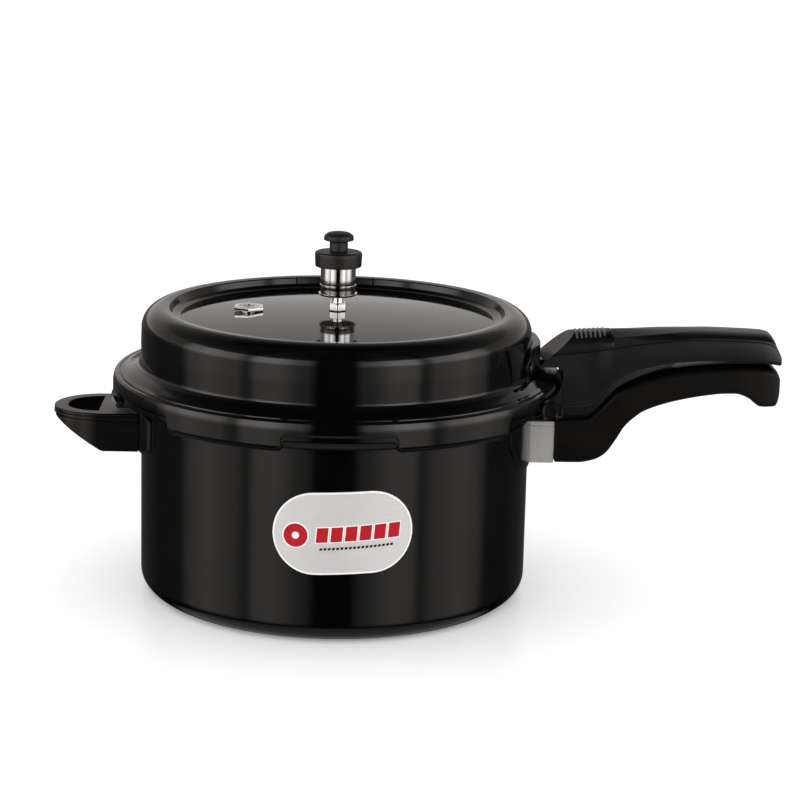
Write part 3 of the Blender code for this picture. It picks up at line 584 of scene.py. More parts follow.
def label():
    """A plate of foil with a raised white rim, on a black layer that shows as an outline: a painted shadow
    along the plate's edge.
    """
    back = POT_RADIUS + 0.02 * MM
    foil = surface("label_foil", Metallic=0.4)
    tree = foil.node_tree
    hair = noise(tree, 900, 3, stretched(tree, (0.06, 0.06, 1.0)), 0.7)
    wire(
        foil,
        Base_Color=tinted(tree, ranged(tree, hair, 0, 1), (0.66, 0.645, 0.64), (0.70, 0.685, 0.68)),
        Roughness=ranged(tree, noise(tree, 60, 3), 0.5, 0.6),
        Normal=bump(tree, hair, 0.04, 0.01 * MM),
    )
    white = printed("label_white", (0.93, 0.93, 0.93), (0.97, 0.97, 0.97))
    # This black serves both the printed dashes and the painted shadow round the label's edge.
    black = printed("label_black_ink_and_edge_shadow", (0.004, 0.004, 0.004), (0.008, 0.008, 0.008))
    red = printed("label_red", (0.40, 0.006, 0.014), (0.52, 0.010, 0.022))
    half_u = math.radians(19.8) * POT_RADIUS
    half_v = 22.9 * MM
    edge = split_long(stadium(half_u, half_v))
    # The black layer a little wider than the rim is a painted shadow along the label plate's edge.
    edge_shadow = sticker(edge, back, back + 0.15 * MM, 0.004)
    piece("label_edge_shadow", edge_shadow, black, "pot", "label", "label_plate")
    rim = split_long(stadium(half_u - 0.5 * MM, half_v - 0.5 * MM))
    piece("label_rim", sticker(rim, back + 0.16 * MM, back + 0.62 * MM, 0.006), white, "pot", "label")
    field = split_long(stadium(half_u - 1.5 * MM, half_v - 1.5 * MM))
    face = back + 0.68 * MM
    piece("label_face", sticker(field, back + 0.3 * MM, face, 0.002), foil, "pot", "label")
    ink(face, white, red, black)


def ink(face, white, red, black):
    """Generic decoration: a disc, a row of slanted bars and a dashed line."""
    c, s = math.cos(PRINT_TILT), math.sin(PRINT_TILT)

    def slanted(points):
        return [(u * c - v * s, u * s + v * c) for u, v in points]

    def disc(radius, u, v):
        return [
            (u + radius * math.cos(math.radians(d)), v + radius * math.sin(math.radians(d)))
            for d in range(0, 360, 8)
        ]

    def bar(u, width, low, high, lean=1.2 * MM):
        return [(u, low), (u + width, low), (u + width + lean, high), (u + lean, high)]

    disc_u = -25 * MM
    reds = [disc(6.4 * MM, disc_u, 0)]
    whites = [disc(7.1 * MM, disc_u, 0)]
    for i in range(6):
        start = -14.6 * MM + 7.6 * MM * i
        reds.append(bar(start, 6.1 * MM, -4.4 * MM, 3.6 * MM))
        whites.append(bar(start - 0.5 * MM, 7.1 * MM, -4.9 * MM, 4.1 * MM))
    darks = []
    for i in range(18):
        start = -13 * MM + 2.2 * MM * i
        darks.append(bar(start, 1.5 * MM, -8.7 * MM, -7.4 * MM, 0.4 * MM))
    marks = [disc(1.9 * MM, disc_u, 0)]
    layers = (
        ("label_print_white", whites, 0.03 * MM, white), ("label_print_red", reds, 0.06 * MM, red),
        ("label_print_dots", marks, 0.09 * MM, white), ("label_print_black", darks, 0.03 * MM, black),
    )
    for name, outlines, height, finish in layers:
        plates = [
            sticker(split_long(slanted(outline)), face - 0.02 * MM, face + height, rows=4)
            for outline in outlines
        ]
        piece(name, together(*plates), finish, "pot", "label")


# ---------------------------------------------------------------- brackets on the pot
def plate_loop(inner, outer, low, high, edge):
    """Section of a plate with slightly eased inner corners and rounded outer ones."""
    back = 0.2 * MM
    return filleted([(inner, low, back), (outer, low, edge), (outer, high, edge), (inner, high, back)], 4, True)


def wing_shape(centre, low, thick, step, rim, climb):
    """The saddle that hugs the wall: a plate out to the step, with a thin rounded rim beyond it."""
    inner = POT_RADIUS + GAP
    top = 104.5 * MM
    thin = 0.45 * MM
    half = step + rim
    rise = curve([
        (0, low), (0.43 * half, low), (0.6 * half, low + 0.09 * climb), (0.75 * half, low + 0.25 * climb),
        (0.88 * half, low + 0.52 * climb), (0.97 * half, low + 0.85 * climb), (half, low + climb),
    ])
    corner = half - 1.6
    fall = curve([(0, top), (corner, top), (half - 0.6, top - 1.0 * MM), (half, top - 2.6 * MM)])

    def loop(offset):
        size = abs(offset)
        lift = thin + (thick - thin) * smooth_step(step + 0.5, step - 0.2, size)
        lift *= math.sqrt(max(0.05, 1 - smooth_step(half - 0.6, half, size)))
        return plate_loop(inner, inner + lift, rise(size), fall(size), min(0.5 * MM, 0.45 * lift))

    return swept(loop, centre, half, 0.4)


def body_bracket():
    """The neck that carries the lower grip, and the black saddle round it."""
    neck_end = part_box("body_handle")[0].x - GAP
    low, high = 75.4 * MM, 99.8 * MM
    line = 96.9 * MM

    def outline(inset):
        half = 13 * MM - inset
        groove = half - 0.5 * MM
        return filleted([
            (-half, low + inset, 0.9 * MM), (half, low + inset, 0.9 * MM),
            (half, line, 0.2 * MM), (groove, line + 0.1 * MM, 0.1 * MM), (groove, line + 0.4 * MM, 0.1 * MM),
            (half, line + 0.5 * MM, 0.2 * MM), (half, high - inset, 0.9 * MM),
            (-half, high - inset, 0.9 * MM), (-half, line + 0.5 * MM, 0.2 * MM),
            (-groove, line + 0.4 * MM, 0.1 * MM), (-groove, line + 0.1 * MM, 0.1 * MM), (-half, line, 0.2 * MM),
        ], 6, True)

    flare = ((107.0, 0.0), (124.1 - 0.5, 0), (124.1, 0.35))
    sections = []
    for x, inset in flare:
        reach = min(x * MM, neck_end)
        sections.append([Vector((reach, y, z)) for y, z in outline(inset * MM)])
    tongue = box(*in_mm([(123, -6, 85), (153, 6, 91)]))
    screw_holes = [moved(rod(2.3 * MM, 80 * MM, 94 * MM, 32), x * MM) for x in (132, 145)]
    wall = rod(POT_RADIUS + GAP, 60 * MM, 110 * MM, 240)
    shape = carved(skin(sections), join(tongue), cut(*screw_holes), cut(wall))
    piece("body_neck", shape, NECK_FINISH, "pot", "bracket_steel", "body_handle_bracket")
    cap = box(*in_mm([(110.8, -12.5, 100), (124.1, 12.5, 102.8)]))
    space = box(*in_mm([(105, -13.1, 70), (126, 13.1, 99.9)]))
    wings = wing_shape(0, 76.2 * MM, 1.0 * MM, 23.5, 6.5, 20 * MM)
    saddle = carved(wings, cut(space), join(cap))
    piece("body_saddle", saddle, FITTING_FINISH, "pot", "black_anodised")


def helper_saddle():
    """The saddle of the short grip, with the tongue that goes into it."""
    tongue = box((-130 * MM, -6 * MM, 88 * MM), (-POT_RADIUS - MM, 6 * MM, 94 * MM))
    shape = carved(wing_shape(180, 80.7 * MM, 2 * MM, 22.6, 0.7, 6 * MM), join(tongue))
    piece("helper_saddle", shape, FITTING_FINISH, "pot", "black_anodised", "helper_bracket")


# ---------------------------------------------------------------- grips
def grip_section(x, low, ridge, crest, half, flat, power, roof, inset, ledge, round_low, barrel):
    """Section across a long grip: rounded lower edges, flat sides, a ledge and an arched top."""
    half -= inset
    low += inset
    ridge -= 0.4 * inset
    crest -= inset
    corner = min(max(0.4 * MM, round_low - 0.5 * inset), 0.4 * (ridge - low))
    points = []
    for i in range(7):
        angle = math.radians(-90 + 15 * i)
        points.append((half - corner + corner * math.cos(angle), low + corner + corner * math.sin(angle)))
    lip = 0.8 * MM
    side = ridge - lip - (low + corner)
    swell = barrel * side
    for i in range(1, 6):
        points.append((half - swell * (i / 6) ** 2, low + corner + side * i / 6))
    half -= swell
    for i in range(5):
        angle = math.radians(22.5 * i)
        points.append((half - lip + lip * math.cos(angle), ridge - lip + lip * math.sin(angle)))
    reach = half - ledge
    flat = min(flat, reach - MM)
    steps = 18
    for i in range(steps + 1):
        angle = math.pi / 2 * i / steps
        y = flat + (reach - flat) * math.cos(angle) ** (2 / power)
        z = ridge + (crest - roof - ridge) * math.sin(angle) ** (2 / power)
        points.append((y, z))
    points.append((flat * 0.55, crest - 0.5 * roof + 0.05 * MM))
    points.append((flat * 0.15, crest))
    points += [(-y, z) for y, z in reversed(points)]
    return [Vector((x, y, z)) for y, z in points]


def edge_curve(points):
    """A smooth function of x through points given in millimetres."""
    return curve(in_mm(points))


def grip(edges, start, end, ledge, round_start, round_end, round_low, barrel, stations=()):
    """A long grip with rounded ends.

    edges are functions of x: the low edge, ridge, crest, half width, flat, power and roof of grip_section.
    """
    xs = [start + round_start * (1 - math.cos(math.radians(15 * i))) for i in range(7)]
    xs += [end - round_end * (1 - math.cos(math.radians(15 * i))) for i in range(7)]
    count = int((end - start) / (1.2 * MM))
    xs += [start + (end - start) * i / count for i in range(1, count)]
    xs += list(stations)
    xs = sorted({round(x, 6) for x in xs})
    sections = []
    for x in xs:
        ahead = min(max(0.0, 1 - (x - start) / round_start), 1.0)
        behind = min(max(0.0, 1 - (end - x) / round_end), 1.0)
        inset = round_start * (1 - math.sqrt(1 - ahead ** 2)) + round_end * (1 - math.sqrt(1 - behind ** 2))
        shape = [edge(x) for edge in edges]
        sections.append(grip_section(x, *shape, inset, ledge, round_low, barrel))
    return skin(sections)


def steps_of(points):
    """A function of x along straight runs through points given in millimetres."""
    scaled = in_mm(points)
    return lambda x: between(scaled, x)


def plain_steps(points):
    """The same through (x in millimetres, plain number) points."""
    scaled = [(x * MM, value) for x, value in points]
    return lambda x: between(scaled, x)


def screw_well(x, head_top, top, mouth):
    """The space for a screw from below, all in millimetres: a wide way up to its head, then a narrow hole."""
    profile = in_mm([(0, mouth), (4.1, mouth), (4.1, head_top), (2.3, head_top), (2.3, top), (0, top)])
    return moved(turned(profile, 48), x * MM)


def body_grip():
    """The long lower grip, hollowed for the bracket's tongue and its screws."""
    start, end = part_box("body_handle")[0].x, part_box("body_handle")[1].x
    low = edge_curve([
        (124.4, 76.2), (138, 76.3), (142, 76.8), (147.6, 78.3), (153.1, 81.7), (158.5, 89.2), (163.7, 97.8),
        (169.2, 103.3), (174.7, 107.1), (185.8, 111.4), (197, 114.3), (208, 116.4), (220, 117.8), (226, 117.9),
        (230, 116.9), (234, 114.9), (237, 112.4), (239.5, 110.9), (242, 110.6), (248, 110.9), (250, 112.8),
        (251, 116.5),
    ])
    edge = edge_curve([
        (124.4, 100.6), (139, 101.5), (143.7, 102.2), (149.7, 106.9), (159.5, 117), (173.9, 123),
        (188.9, 127.3), (210.3, 130.1), (232.3, 131.1), (244, 130.8), (249, 129.2), (251, 127),
    ])
    crest = edge_curve([
        (124.4, 101.2), (139, 102.1), (143.7, 102.9), (149.7, 108.0), (159.5, 118.8), (173.9, 125.8),
        (188.9, 130.6), (210.3, 133.4), (232.3, 134.3), (244, 133.6), (249, 131.2), (251, 128.4),
    ])
    width = edge_curve([(124, 15), (200, 15), (225, 15), (240, 14.8), (247, 14.4), (251, 13.9)])
    flat = steps_of([(124, 12), (150, 11), (165, 7), (251, 7)])
    power = plain_steps([(124, 2), (150, 2), (165, 1.7), (251, 1.7)])
    level = plain_steps([(124, 0), (251, 0)])
    edges = (low, edge, crest, width, flat, power, level)
    shape = grip(edges, start, end, 0.5 * MM, 1.2 * MM, 2.6 * MM, 2.0 * MM, 0.015)
    slot = box((start - 4 * MM, -6.3 * MM, 84.7 * MM), (153.3 * MM, 6.3 * MM, 91.3 * MM))
    wells = [screw_well(132, 79.9, 94.3, 70), screw_well(145, 81.8, 94.3, 70)]
    shape = carved(shape, cut(slot), cut(*wells))
    piece("body_grip", shape, BODY_GRIP_FINISH, "pot", "phenolic", "body_handle")


LID_CREST = (               # x and height along the lid grip's top, in millimetres
    (113.5, 149.4), (126, 149.5), (131, 149.9), (146.1, 151), (174.5, 152), (208.7, 152.7), (232, 152.2),
    (241, 151.8), (245, 151.0), (247.4, 148), (249, 144), (251, 140),
)
LID_RIDGE = (               # the same along the edge where its top meets its sides
    (113.5, 137.2), (123, 138.2), (147.7, 141), (175.6, 146.2), (203.6, 148.7), (231.9, 148.4),
    (242, 147.3), (246.3, 145.3), (249.2, 141.5), (251, 138.6),
)


def lid_grip_edges():
    """The lid grip's edges as functions of x, in the order that grip() takes."""
    low = edge_curve([
        (113.5, 107.8), (137, 107.8), (141, 108.2), (146.7, 111.0), (151, 116.2), (155.8, 122.6), (164, 128.0),
        (173.5, 131.7), (188.6, 134.8), (210, 136.4), (232, 136.4), (245.1, 135.1), (251, 134.2),
    ])
    width = edge_curve([(113, 15), (200, 15), (225, 15), (240, 14.8), (247, 14.3), (251, 13.7)])
    flat = steps_of([
        (113, 0.6), (154.6, 0.6), (155.6, 12.4), (167, 12), (183, 10), (195, 6.5), (206, 0.8), (251, 0.5),
    ])
    power = plain_steps([(113, 2.5), (154.6, 2.3), (155.6, 1.3), (195, 1.6), (210, 2.3), (251, 2.3)])
    roof = steps_of([
        (113, 0), (154.6, 0), (155.6, 2.5), (167, 2.1), (183, 1.1), (195, 0.5), (206, 0), (251, 0),
    ])
    return low, edge_curve(LID_RIDGE), edge_curve(LID_CREST), width, flat, power, roof


def facet_height(x, y):
    """Height of the slanted facet at the grip's root, in millimetres."""
    return 0.9 * x + 0.13 * y + 30.15


def grip_keel():
    """A low rib under the lid's grip that fills the slit above the body's grip."""
    low = lid_grip_edges()[0]
    keel = edge_curve([
        (129.2, 103.0), (139, 103.5), (143.7, 104.5), (149.7, 109.8), (159.5, 120.4), (173.9, 127.3),
        (188.9, 132.0), (194, 133.4),
    ])
    half = edge_curve([(129.2, 11), (150, 11), (165, 10), (180, 8), (192, 6)])
    steps = 52
    sections = []
    for i in range(steps + 1):
        x = (129.2 + 62.4 * i / steps) * MM
        top = low(x) + 2.5 * MM
        bottom = min(keel(x), top - MM)
        reach = half(x)
        inside = 0.7 * MM
        rim = (
            (-reach, bottom), (inside - reach, bottom - 0.3 * MM), (reach - inside, bottom - 0.3 * MM),
            (reach, bottom), (reach, top), (-reach, top),
        )
        sections.append([Vector((x, y, z)) for y, z in rim])
    return skin(sections)


def lid_grip():
    """The long upper grip, cut at its root to sit on the lid's saddle, and its ribs."""
    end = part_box("lid_handle")[1].x
    close = [x * MM for x in (154.4, 154.6, 154.9, 155.1, 155.4, 155.7)]
    shape = grip(lid_grip_edges(), 113.5 * MM, end, 0.3 * MM, 0.3 * MM, 0.7 * MM, 2.2 * MM, 0.10, close)
    facet = skin([
        [Vector(corner) for corner in in_mm([
            (104, y, facet_height(104, y)), (142, y, facet_height(142, y)), (104, y, 170),
        ])]
        for y in (-20, 20)
    ])
    relief = turned(in_mm([(0, 100), (128.5, 100), (128.5, 131.1), (115.3, 131.1), (115.3, 165), (0, 165)]))
    slot = box(*in_mm([(105, -7.3, 130.2), (160.3, 7.3, 134.7)]))
    wells = [screw_well(136, 113.3, 140.3, 100), screw_well(152, 122.8, 140.3, 100)]
    body = carved(shape, join(grip_keel()), cut(facet), cut(relief), cut(slot), cut(*wells))
    piece("lid_grip", body, LID_GRIP_FINISH, "lid", "phenolic", "lid_handle")
    # The ribs' lighter finish is a painted highlight on the raised letters.
    ribs = [grip_rib((134.5 + 2.6 * i) * MM, (135.9 + 2.6 * i) * MM) for i in range(7)]
    piece("lid_grip_ribs", together(*ribs), RIB_HIGHLIGHT_FINISH, "lid", "phenolic")


def grip_rib(start, end):
    """A low rib over the arched top of the lid's grip."""
    _, ridge, crest, width, flat, power, _ = lid_grip_edges()
    low_angle = 42
    count = 22

    def arch(x, rise):
        points = []
        for i in range(count + 1):
            angle = math.radians(low_angle + (180 - 2 * low_angle) * i / count)
            c = math.cos(angle)
            reach = width(x) - 3.6 * MM + rise
            bulge = math.copysign(abs(c) ** (2 / power(x)), c) * (reach - flat(x))
            y = bulge + math.copysign(flat(x), c) * min(1, abs(c) * 4)
            z = ridge(x) + (crest(x) + rise - ridge(x)) * math.sin(angle) ** (2 / power(x))
            points.append((y, z))
        return points

    bevel = 0.3 * MM
    stations = (
        (start, -0.3), (start, 0.15), (start + bevel, 0.45), (end - bevel, 0.45), (end, 0.15), (end, -0.3),
    )
    loops = []
    for x, rise in stations:
        loop = arch(x, rise * MM) + arch(x, -0.5 * MM)[::-1]
        loops.append([Vector((x, y, z)) for y, z in loop])
    return skin(loops)


def helper_outline(inset, root=-90 * MM, count=40):
    """Plan of the helper grip: straight sides and a half-elliptical tip."""
    centre = -133 * MM
    length = 26.5 * MM - inset
    half = 25 * MM - inset
    points = [(root, half)]
    for i in range(count + 1):
        angle = math.pi / 2 + math.pi * i / count
        points.append((centre + length * math.cos(angle), half * math.sin(angle)))
    points.append((root, -half))
    return points


def helper_grip():
    """The short loop grip, with its finger hole, grooves and sloping underside."""
    low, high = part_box("helper_handle")[0].z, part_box("helper_handle")[1].z
    grooves = in_mm([
        (97.6, 0), (97.9, 0.15), (98.1, 0.7), (98.6, 0.7), (98.8, 0.15), (99.1, 0), (99.9, 0), (100.2, 0.15),
        (100.4, 0.8), (101.0, 0.8), (101.2, 0.25), (101.5, 0.15), (102.0, 0.25), (102.3, 0.5),
    ])
    foot = [(low, MM), (low + 0.3 * MM, 0.3 * MM), (low + 1.0 * MM, 0)]
    body = layered(helper_outline, foot + grooves + [(high, 0.95 * MM)])
    rise = 0.62
    under = filleted([
        (-90 * MM, 70 * MM, 0), (-90 * MM, low - 5 * MM, 0), (-122 * MM, low - 5 * MM, 0),
        (-122 * MM, low - 0.01 * MM, 0), (-130 * MM, low, 3 * MM), (-172 * MM, low + rise * 42 * MM, 0),
        (-172 * MM, 70 * MM, 0),
    ], 6)
    seat = turned(in_mm([(0, 60), (112.6, 60), (112.6, 120), (0, 120)]))
    hole_levels = [
        (60 * MM, 0), (high - 1.0 * MM, 0), (high - 0.55 * MM, 0.12 * MM), (high - 0.2 * MM, 0.45 * MM),
        (high, 0.9 * MM), (high + 3 * MM, 4.0 * MM),
    ]

    def hole_outline(grow, count=40):
        centre, length, half = -133 * MM, 18.5 * MM + grow, 17 * MM + grow
        points = [(centre + grow, half)]
        for i in range(1, count):
            angle = math.pi / 2 + math.pi * i / count
            points.append((centre + length * math.cos(angle), half * math.sin(angle)))
        points.append((centre + grow, -half))
        return points

    hole = layered(hole_outline, hole_levels)
    slot = box(*in_mm([(-130.3, -6.3, 87.7), (-100, 6.3, 94.3)]))
    well = screw_well(-121, 84.3, 96.3, 70)
    shape = carved(body, cut(sideways(under, 30 * MM)), cut(seat), cut(hole), cut(slot), cut(well))
    piece("helper_grip", shape, HELPER_FINISH, "pot", "phenolic", "helper_handle")


# ---------------------------------------------------------------- fastenings
def screw(node, name, body):
    """A cross-head screw, its head down, in the place of a CAD node."""
    low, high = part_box(node)
    head, shaft = 3.8 * MM, 2 * MM
    shoulder = low.z + 2 * MM
    profile = filleted([
        (0, low.z, 0), (head, low.z, 0.9 * MM), (head, shoulder, 0.2 * MM), (shaft, shoulder, 0.1 * MM),
        (shaft, high.z, 0.4 * MM), (0, high.z, 0),
    ])
    long, wide = 2.6 * MM, 0.45 * MM
    cross = box((-long, -wide, low.z - MM), (long, wide, low.z + 1.1 * MM))
    other = box((-wide, -long, low.z - MM), (wide, long, low.z + 1.0 * MM))
    shape = carved(turned(profile, SMALL), cut(cross), cut(other))
    piece(name, moved(shape, (low.x + high.x) / 2), SCREW_FINISH, body, "screw_steel", node)


def rivet(node, name, body, degrees, height, plate_outside, wall_inside, finish=RIVET_FINISH):
    """A rivet that points outwards through wall and plate, with a domed head at each end."""
    head, shaft, dome = 4 * MM, 2 * MM, 1.4 * MM
    outer, inner = plate_outside + GAP, wall_inside - GAP

    def dome_points(base, rise, angles):
        return [(head * math.sin(math.radians(a)), base + rise * math.cos(math.radians(a))) for a in angles]

    profile = [(0, inner - dome)] + dome_points(inner, -dome, range(15, 91, 15))
    profile += [(shaft, inner), (shaft, outer)]
    profile += dome_points(outer, dome, range(90, 0, -15)) + [(0, outer + dome)]
    shape = pointed_outwards(turned(profile, 40), degrees, height)
    piece(name, shape, finish, body, "rivet_aluminium", node)


def fastenings():
    """The screws of the grips and the rivets of the saddles."""
    screw("body_handle_screw_front", "body_screw_front", "pot")
    screw("body_handle_screw_rear", "body_screw_rear", "pot")
    screw("helper_handle_screw", "helper_screw", "pot")
    screw("lid_handle_screw_front", "lid_screw_front", "lid")
    screw("lid_handle_screw_rear", "lid_screw_rear", "lid")
    plate = POT_RADIUS + 2.3 * MM
    wall = POT_RADIUS - 3 * MM
    rivet("body_rivet_lower", "pot_rivet_lower", "pot", 0, 79.8 * MM, plate, wall)
    rivet("body_rivet_upper", "pot_rivet_upper", "pot", 0, 96.2 * MM, plate, wall)
    rivet("helper_rivet_left", "saddle_rivet_left", "pot", 172, 91 * MM, plate, wall)
    rivet("helper_rivet_right", "saddle_rivet_right", "pot", 188, 91 * MM, plate, wall)
    dark = anodised("rivet_black", 0.2, 0.3, 0.1)
    rivet("lid_rivet_right", "lid_pin_right", "lid", -LID_RIVET_ANGLE, LID_RIVET_HEIGHT, plate, wall, dark)
    rivet("lid_rivet_left", "lid_pin_left", "lid", LID_RIVET_ANGLE, LID_RIVET_HEIGHT, plate, wall, dark)


# ---------------------------------------------------------------- gasket and lid
def gasket():
    low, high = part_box("gasket")[0].z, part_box("gasket")[1].z
    middle = (low + high) / 2
    loop = filleted([
        (108.2 * MM, low, 0.5 * MM), (115.4 * MM, low, 0.8 * MM), (115.4 * MM, high, 0.8 * MM),
        (108.2 * MM, high, 0.5 * MM), (109.6 * MM, high - 0.9 * MM, 0.3 * MM), (112 * MM, middle, 0.5 * MM),
        (109.6 * MM, low + 0.9 * MM, 0.3 * MM),
    ], 4, True)
    piece("gasket_ring", turned(loop, ring=True), RUBBER_FINISH, "seal", "rubber", "gasket", sharp=50)


def floor_height(radius):
    return 159 * MM - 4 * MM * (radius / (90 * MM)) ** 2


NOTCH_TOP = 113.2 * MM
NOTCH_TURN = 1.15
NOTCH_SIDE = math.radians(NOTCH_HALF) * SKIRT_RADIUS


def notch_stations():
    """(arc distance from the notch's middle, height of the skirt's edge) with rounded corners."""
    top_round, low_round = 3.0 * MM, 1.0 * MM
    stations = [(0.0, NOTCH_TOP)]
    for i in range(1, 12):
        stations.append((i / 12 * (NOTCH_SIDE - top_round), NOTCH_TOP))
    for i in range(9):
        angle = math.radians(90 * i / 8)
        reach = NOTCH_SIDE - top_round + top_round * math.sin(angle)
        stations.append((reach, NOTCH_TOP - top_round + top_round * math.cos(angle)))
    side = NOTCH_SIDE + 0.25 * MM
    for i in range(9):
        angle = math.radians(90 * i / 8)
        reach = side + low_round * (1 - math.cos(angle))
        stations.append((reach, SKIRT_BOTTOM + low_round - low_round * math.sin(angle)))
    lug_half = math.radians(LUG_PITCH / 2) * SKIRT_RADIUS
    last = stations[-1][0]
    for i in range(1, 15):
        stations.append((last + (lug_half - last) * i / 14, SKIRT_BOTTOM))
    return stations


def recess_top(angle):
    """Top of the shallow recess round each notch, with rounded corners."""
    arc = abs((angle - NOTCH_TURN) % LUG_PITCH - LUG_PITCH / 2)
    reach = math.radians(arc) * SKIRT_RADIUS
    top, corner = 117.3 * MM, 3.6 * MM
    beyond = min(max(0.0, reach - (NOTCH_SIDE + 0.3 * MM - corner)), corner)
    height = top - corner + math.sqrt(corner ** 2 - beyond ** 2)
    return height - 4.4 * MM * smooth_step(NOTCH_SIDE, NOTCH_SIDE + 0.6 * MM, reach)


def lid_cover():
    """The outer lid: sunken floor, raised rim, drum, flange and notched skirt."""
    notch = notch_stations()
    angles, edges = [], []
    for k in range(6):
        middle = LUG_PITCH * (k + 0.5) + NOTCH_TURN
        both = [(-s, z) for s, z in reversed(notch[1:-1])] + list(notch)
        for s, z in both:
            angles.append(middle + math.degrees(s / SKIRT_RADIUS))
            edges.append(z)
    edge_at = dict(zip(angles, edges))
    dome = [(r * MM, floor_height(r * MM), 0) for r in range(8, 88, 8)]
    shoulder = ellipse(98.4 * MM, 149.5 * MM, 11.5 * MM, 11.5 * MM, 98, 4, 30)
    inner_shoulder = ellipse(98.5 * MM, 149.5 * MM, 8.5 * MM, 8.5 * MM, 0, 90, 16)
    well_edge = 88.6 * MM
    crown = [(0, floor_height(0), 0)] + dome + [(well_edge, floor_height(well_edge), 2 * MM)] + in_mm([
        (93.0, 156.6, 1.2), (94.4, 160.7, 0.9),
    ]) + shoulder + in_mm([
        (110.15, 141, 40), (109.9, 128.7, 3.6), (118.6, 125.5, 6), (121.3, 124.95, 0.2), (121.6, 124.15, 0.15),
        (122.1, 124.15, 0.15), (122.4, 124.65, 0.25), (124.8, 124.5, 1.7), (125.75, 120.5, 12),
    ])
    underside = in_mm([(123, 121.5, 1), (107, 121.5, 0.8)]) + inner_shoulder + in_mm([
        (97.2, 157.4, 1.5), (95.0, 153.6, 1.5), (89, 152, 1.5),
    ]) + [(r, z - 3 * MM, 0) for r, z, _ in reversed(dome)] + [(0, 156 * MM, 0)]

    def section(angle):
        bottom = edge_at[angle]
        share = (bottom - SKIRT_BOTTOM) / (NOTCH_TOP - SKIRT_BOTTOM)
        recess = max(recess_top(angle), bottom + 2.4 * MM)
        depth = 1.0 * MM * smooth_step(111.5 * MM, 113 * MM, recess)
        lip = 118 * MM + 4.4 * MM * min(1.0, share * 3)
        shelf = bottom + 3 * MM - 2.2 * MM * share
        outside = crown + [
            (125.8 * MM, recess + 0.5 * MM, 1 * MM), (125.8 * MM - depth, recess - 0.5 * MM, 1 * MM),
            (125.8 * MM - depth, bottom + 1.2 * MM, 0.2 * MM), (125.6 * MM - depth, bottom, 0.5 * MM),
        ]
        inside = [
            (lip, bottom, 0.5 * MM), (lip, shelf, 0.5 * MM), (122.9 * MM, shelf + 0.3 * MM, 0.2 * MM),
        ]
        return filleted(outside + inside + underside, 5)

    shell = turned(section, angles=angles)
    outline = filleted(in_mm([
        (-118.4, 2.9, 0.5), (-113.9, 3.3, 0.5), (-113.8, 4.5, 0.5),
        (-118.3, 4.1, 0.5),
    ]), 4, True)
    mark = prism(outline, 125.3 * MM, 130 * MM)
    vent_hole = rod(3.5 * MM, 140 * MM, 170 * MM, 48)
    valve_hole = moved(rod(5.3 * MM, 140 * MM, 170 * MM, 48), VALVE_X)
    shape = carved(shell, cut(vent_hole, valve_hole, mark))
    piece("lid_cover", shape, LID_FINISH, "lid", "black_anodised", "lid_shell")


def lid_saddle():
    """A thick pad on the drum, a saddle over the flange, wings along the skirt and a tongue."""
    inner = POT_RADIUS + GAP
    pad_low = heights([(0, 130.4), (16, 130.6), (18.5, 131.6), (19.6, 133), (20, 134.2)])
    pad_high = heights([(0, 145), (13, 144.8), (16.5, 143.2), (19, 139.6), (20, 136.4)])
    pad_out = heights([(0, 115), (8, 115), (11, 113.4), (13, 112.4), (18.6, 112.3), (20, 111.4)])

    def pad(offset):
        size = abs(offset)
        return plate_loop(inner, pad_out(size), pad_low(size), pad_high(size), 0.9 * MM)

    against_lid = [(inner, 135 * MM, 0.2 * MM), (inner, 129.9 * MM, 0.2 * MM)] + in_mm([
        (119.1, 125.9, 2), (125, 124.9, 1), (126.4, 123, 0.5), (126.4, 103.8, 0.2),
    ])
    upper_face = in_mm([(125.4, 127, 2), (119.8, 128.2, 3), (115, 131, 0.5), (115, 135, 0.2)])

    def saddle(offset):
        outer = 127.9 * MM + smooth_step(7.5, 6.9, abs(offset)) * 0.5 * MM
        outside = [(outer, 103.8 * MM, 0.7 * MM), (outer, 123.8 * MM, 2.4 * MM)]
        return filleted(against_lid + outside + upper_face, 4, True)

    wing_low = heights([(0, 110), (22, 110), (25.5, 111.4), (27.4, 113.6), (28, 116)])
    wing_high = heights([(0, 121.6), (24, 121.6), (26.6, 121), (27.6, 119.8), (28, 118)])

    def wing(offset):
        size = abs(offset)
        outer = 128.3 * MM - 1.2 * MM * smooth_step(27, 28, size)
        return plate_loop(126.4 * MM, outer, wing_low(size), wing_high(size), 0.8 * MM)

    tongue = box(*in_mm([(112, -7, 131.4), (160, 7, 134.4)]))
    holes = [moved(rod(2.3 * MM, 125 * MM, 140 * MM, 32), x * MM) for x in (136, 152)]
    for degrees in (-LID_RIVET_ANGLE, LID_RIVET_ANGLE):
        holes.append(pointed_outwards(rod(2.3 * MM, 109 * MM, 116 * MM, 32), degrees, LID_RIVET_HEIGHT))
    bridge = join(swept(saddle, 0, 7.5, 0.5))
    shape = carved(swept(pad, 0, 20, 0.5), bridge, join(swept(wing, 0, 28, 0.7)), join(tongue), cut(*holes))
    piece("lid_saddle", shape, FITTING_FINISH, "lid", "black_anodised", "lid_handle_bracket")


def hexagon(radius, low, high, chamfer=0.6 * MM, turn=32.0, corner_radius=0.5 * MM):
    """A hexagonal head with eased corners, its top and bottom edges turned down."""
    def outline(inset):
        corners = []
        for i in range(6):
            corner = polar(radius - inset, 60 * i + turn, 0)
            corners.append((corner.x, corner.y, corner_radius))
        return filleted(corners, 4, True)

    return layered(outline, (
        (low, 0.4 * chamfer), (low + 0.15 * MM, 0.12 * chamfer), (low + 0.4 * MM, 0),
        (high - chamfer, 0), (high - 0.4 * chamfer, 0.35 * chamfer), (high, 1.0 * chamfer),
    ))


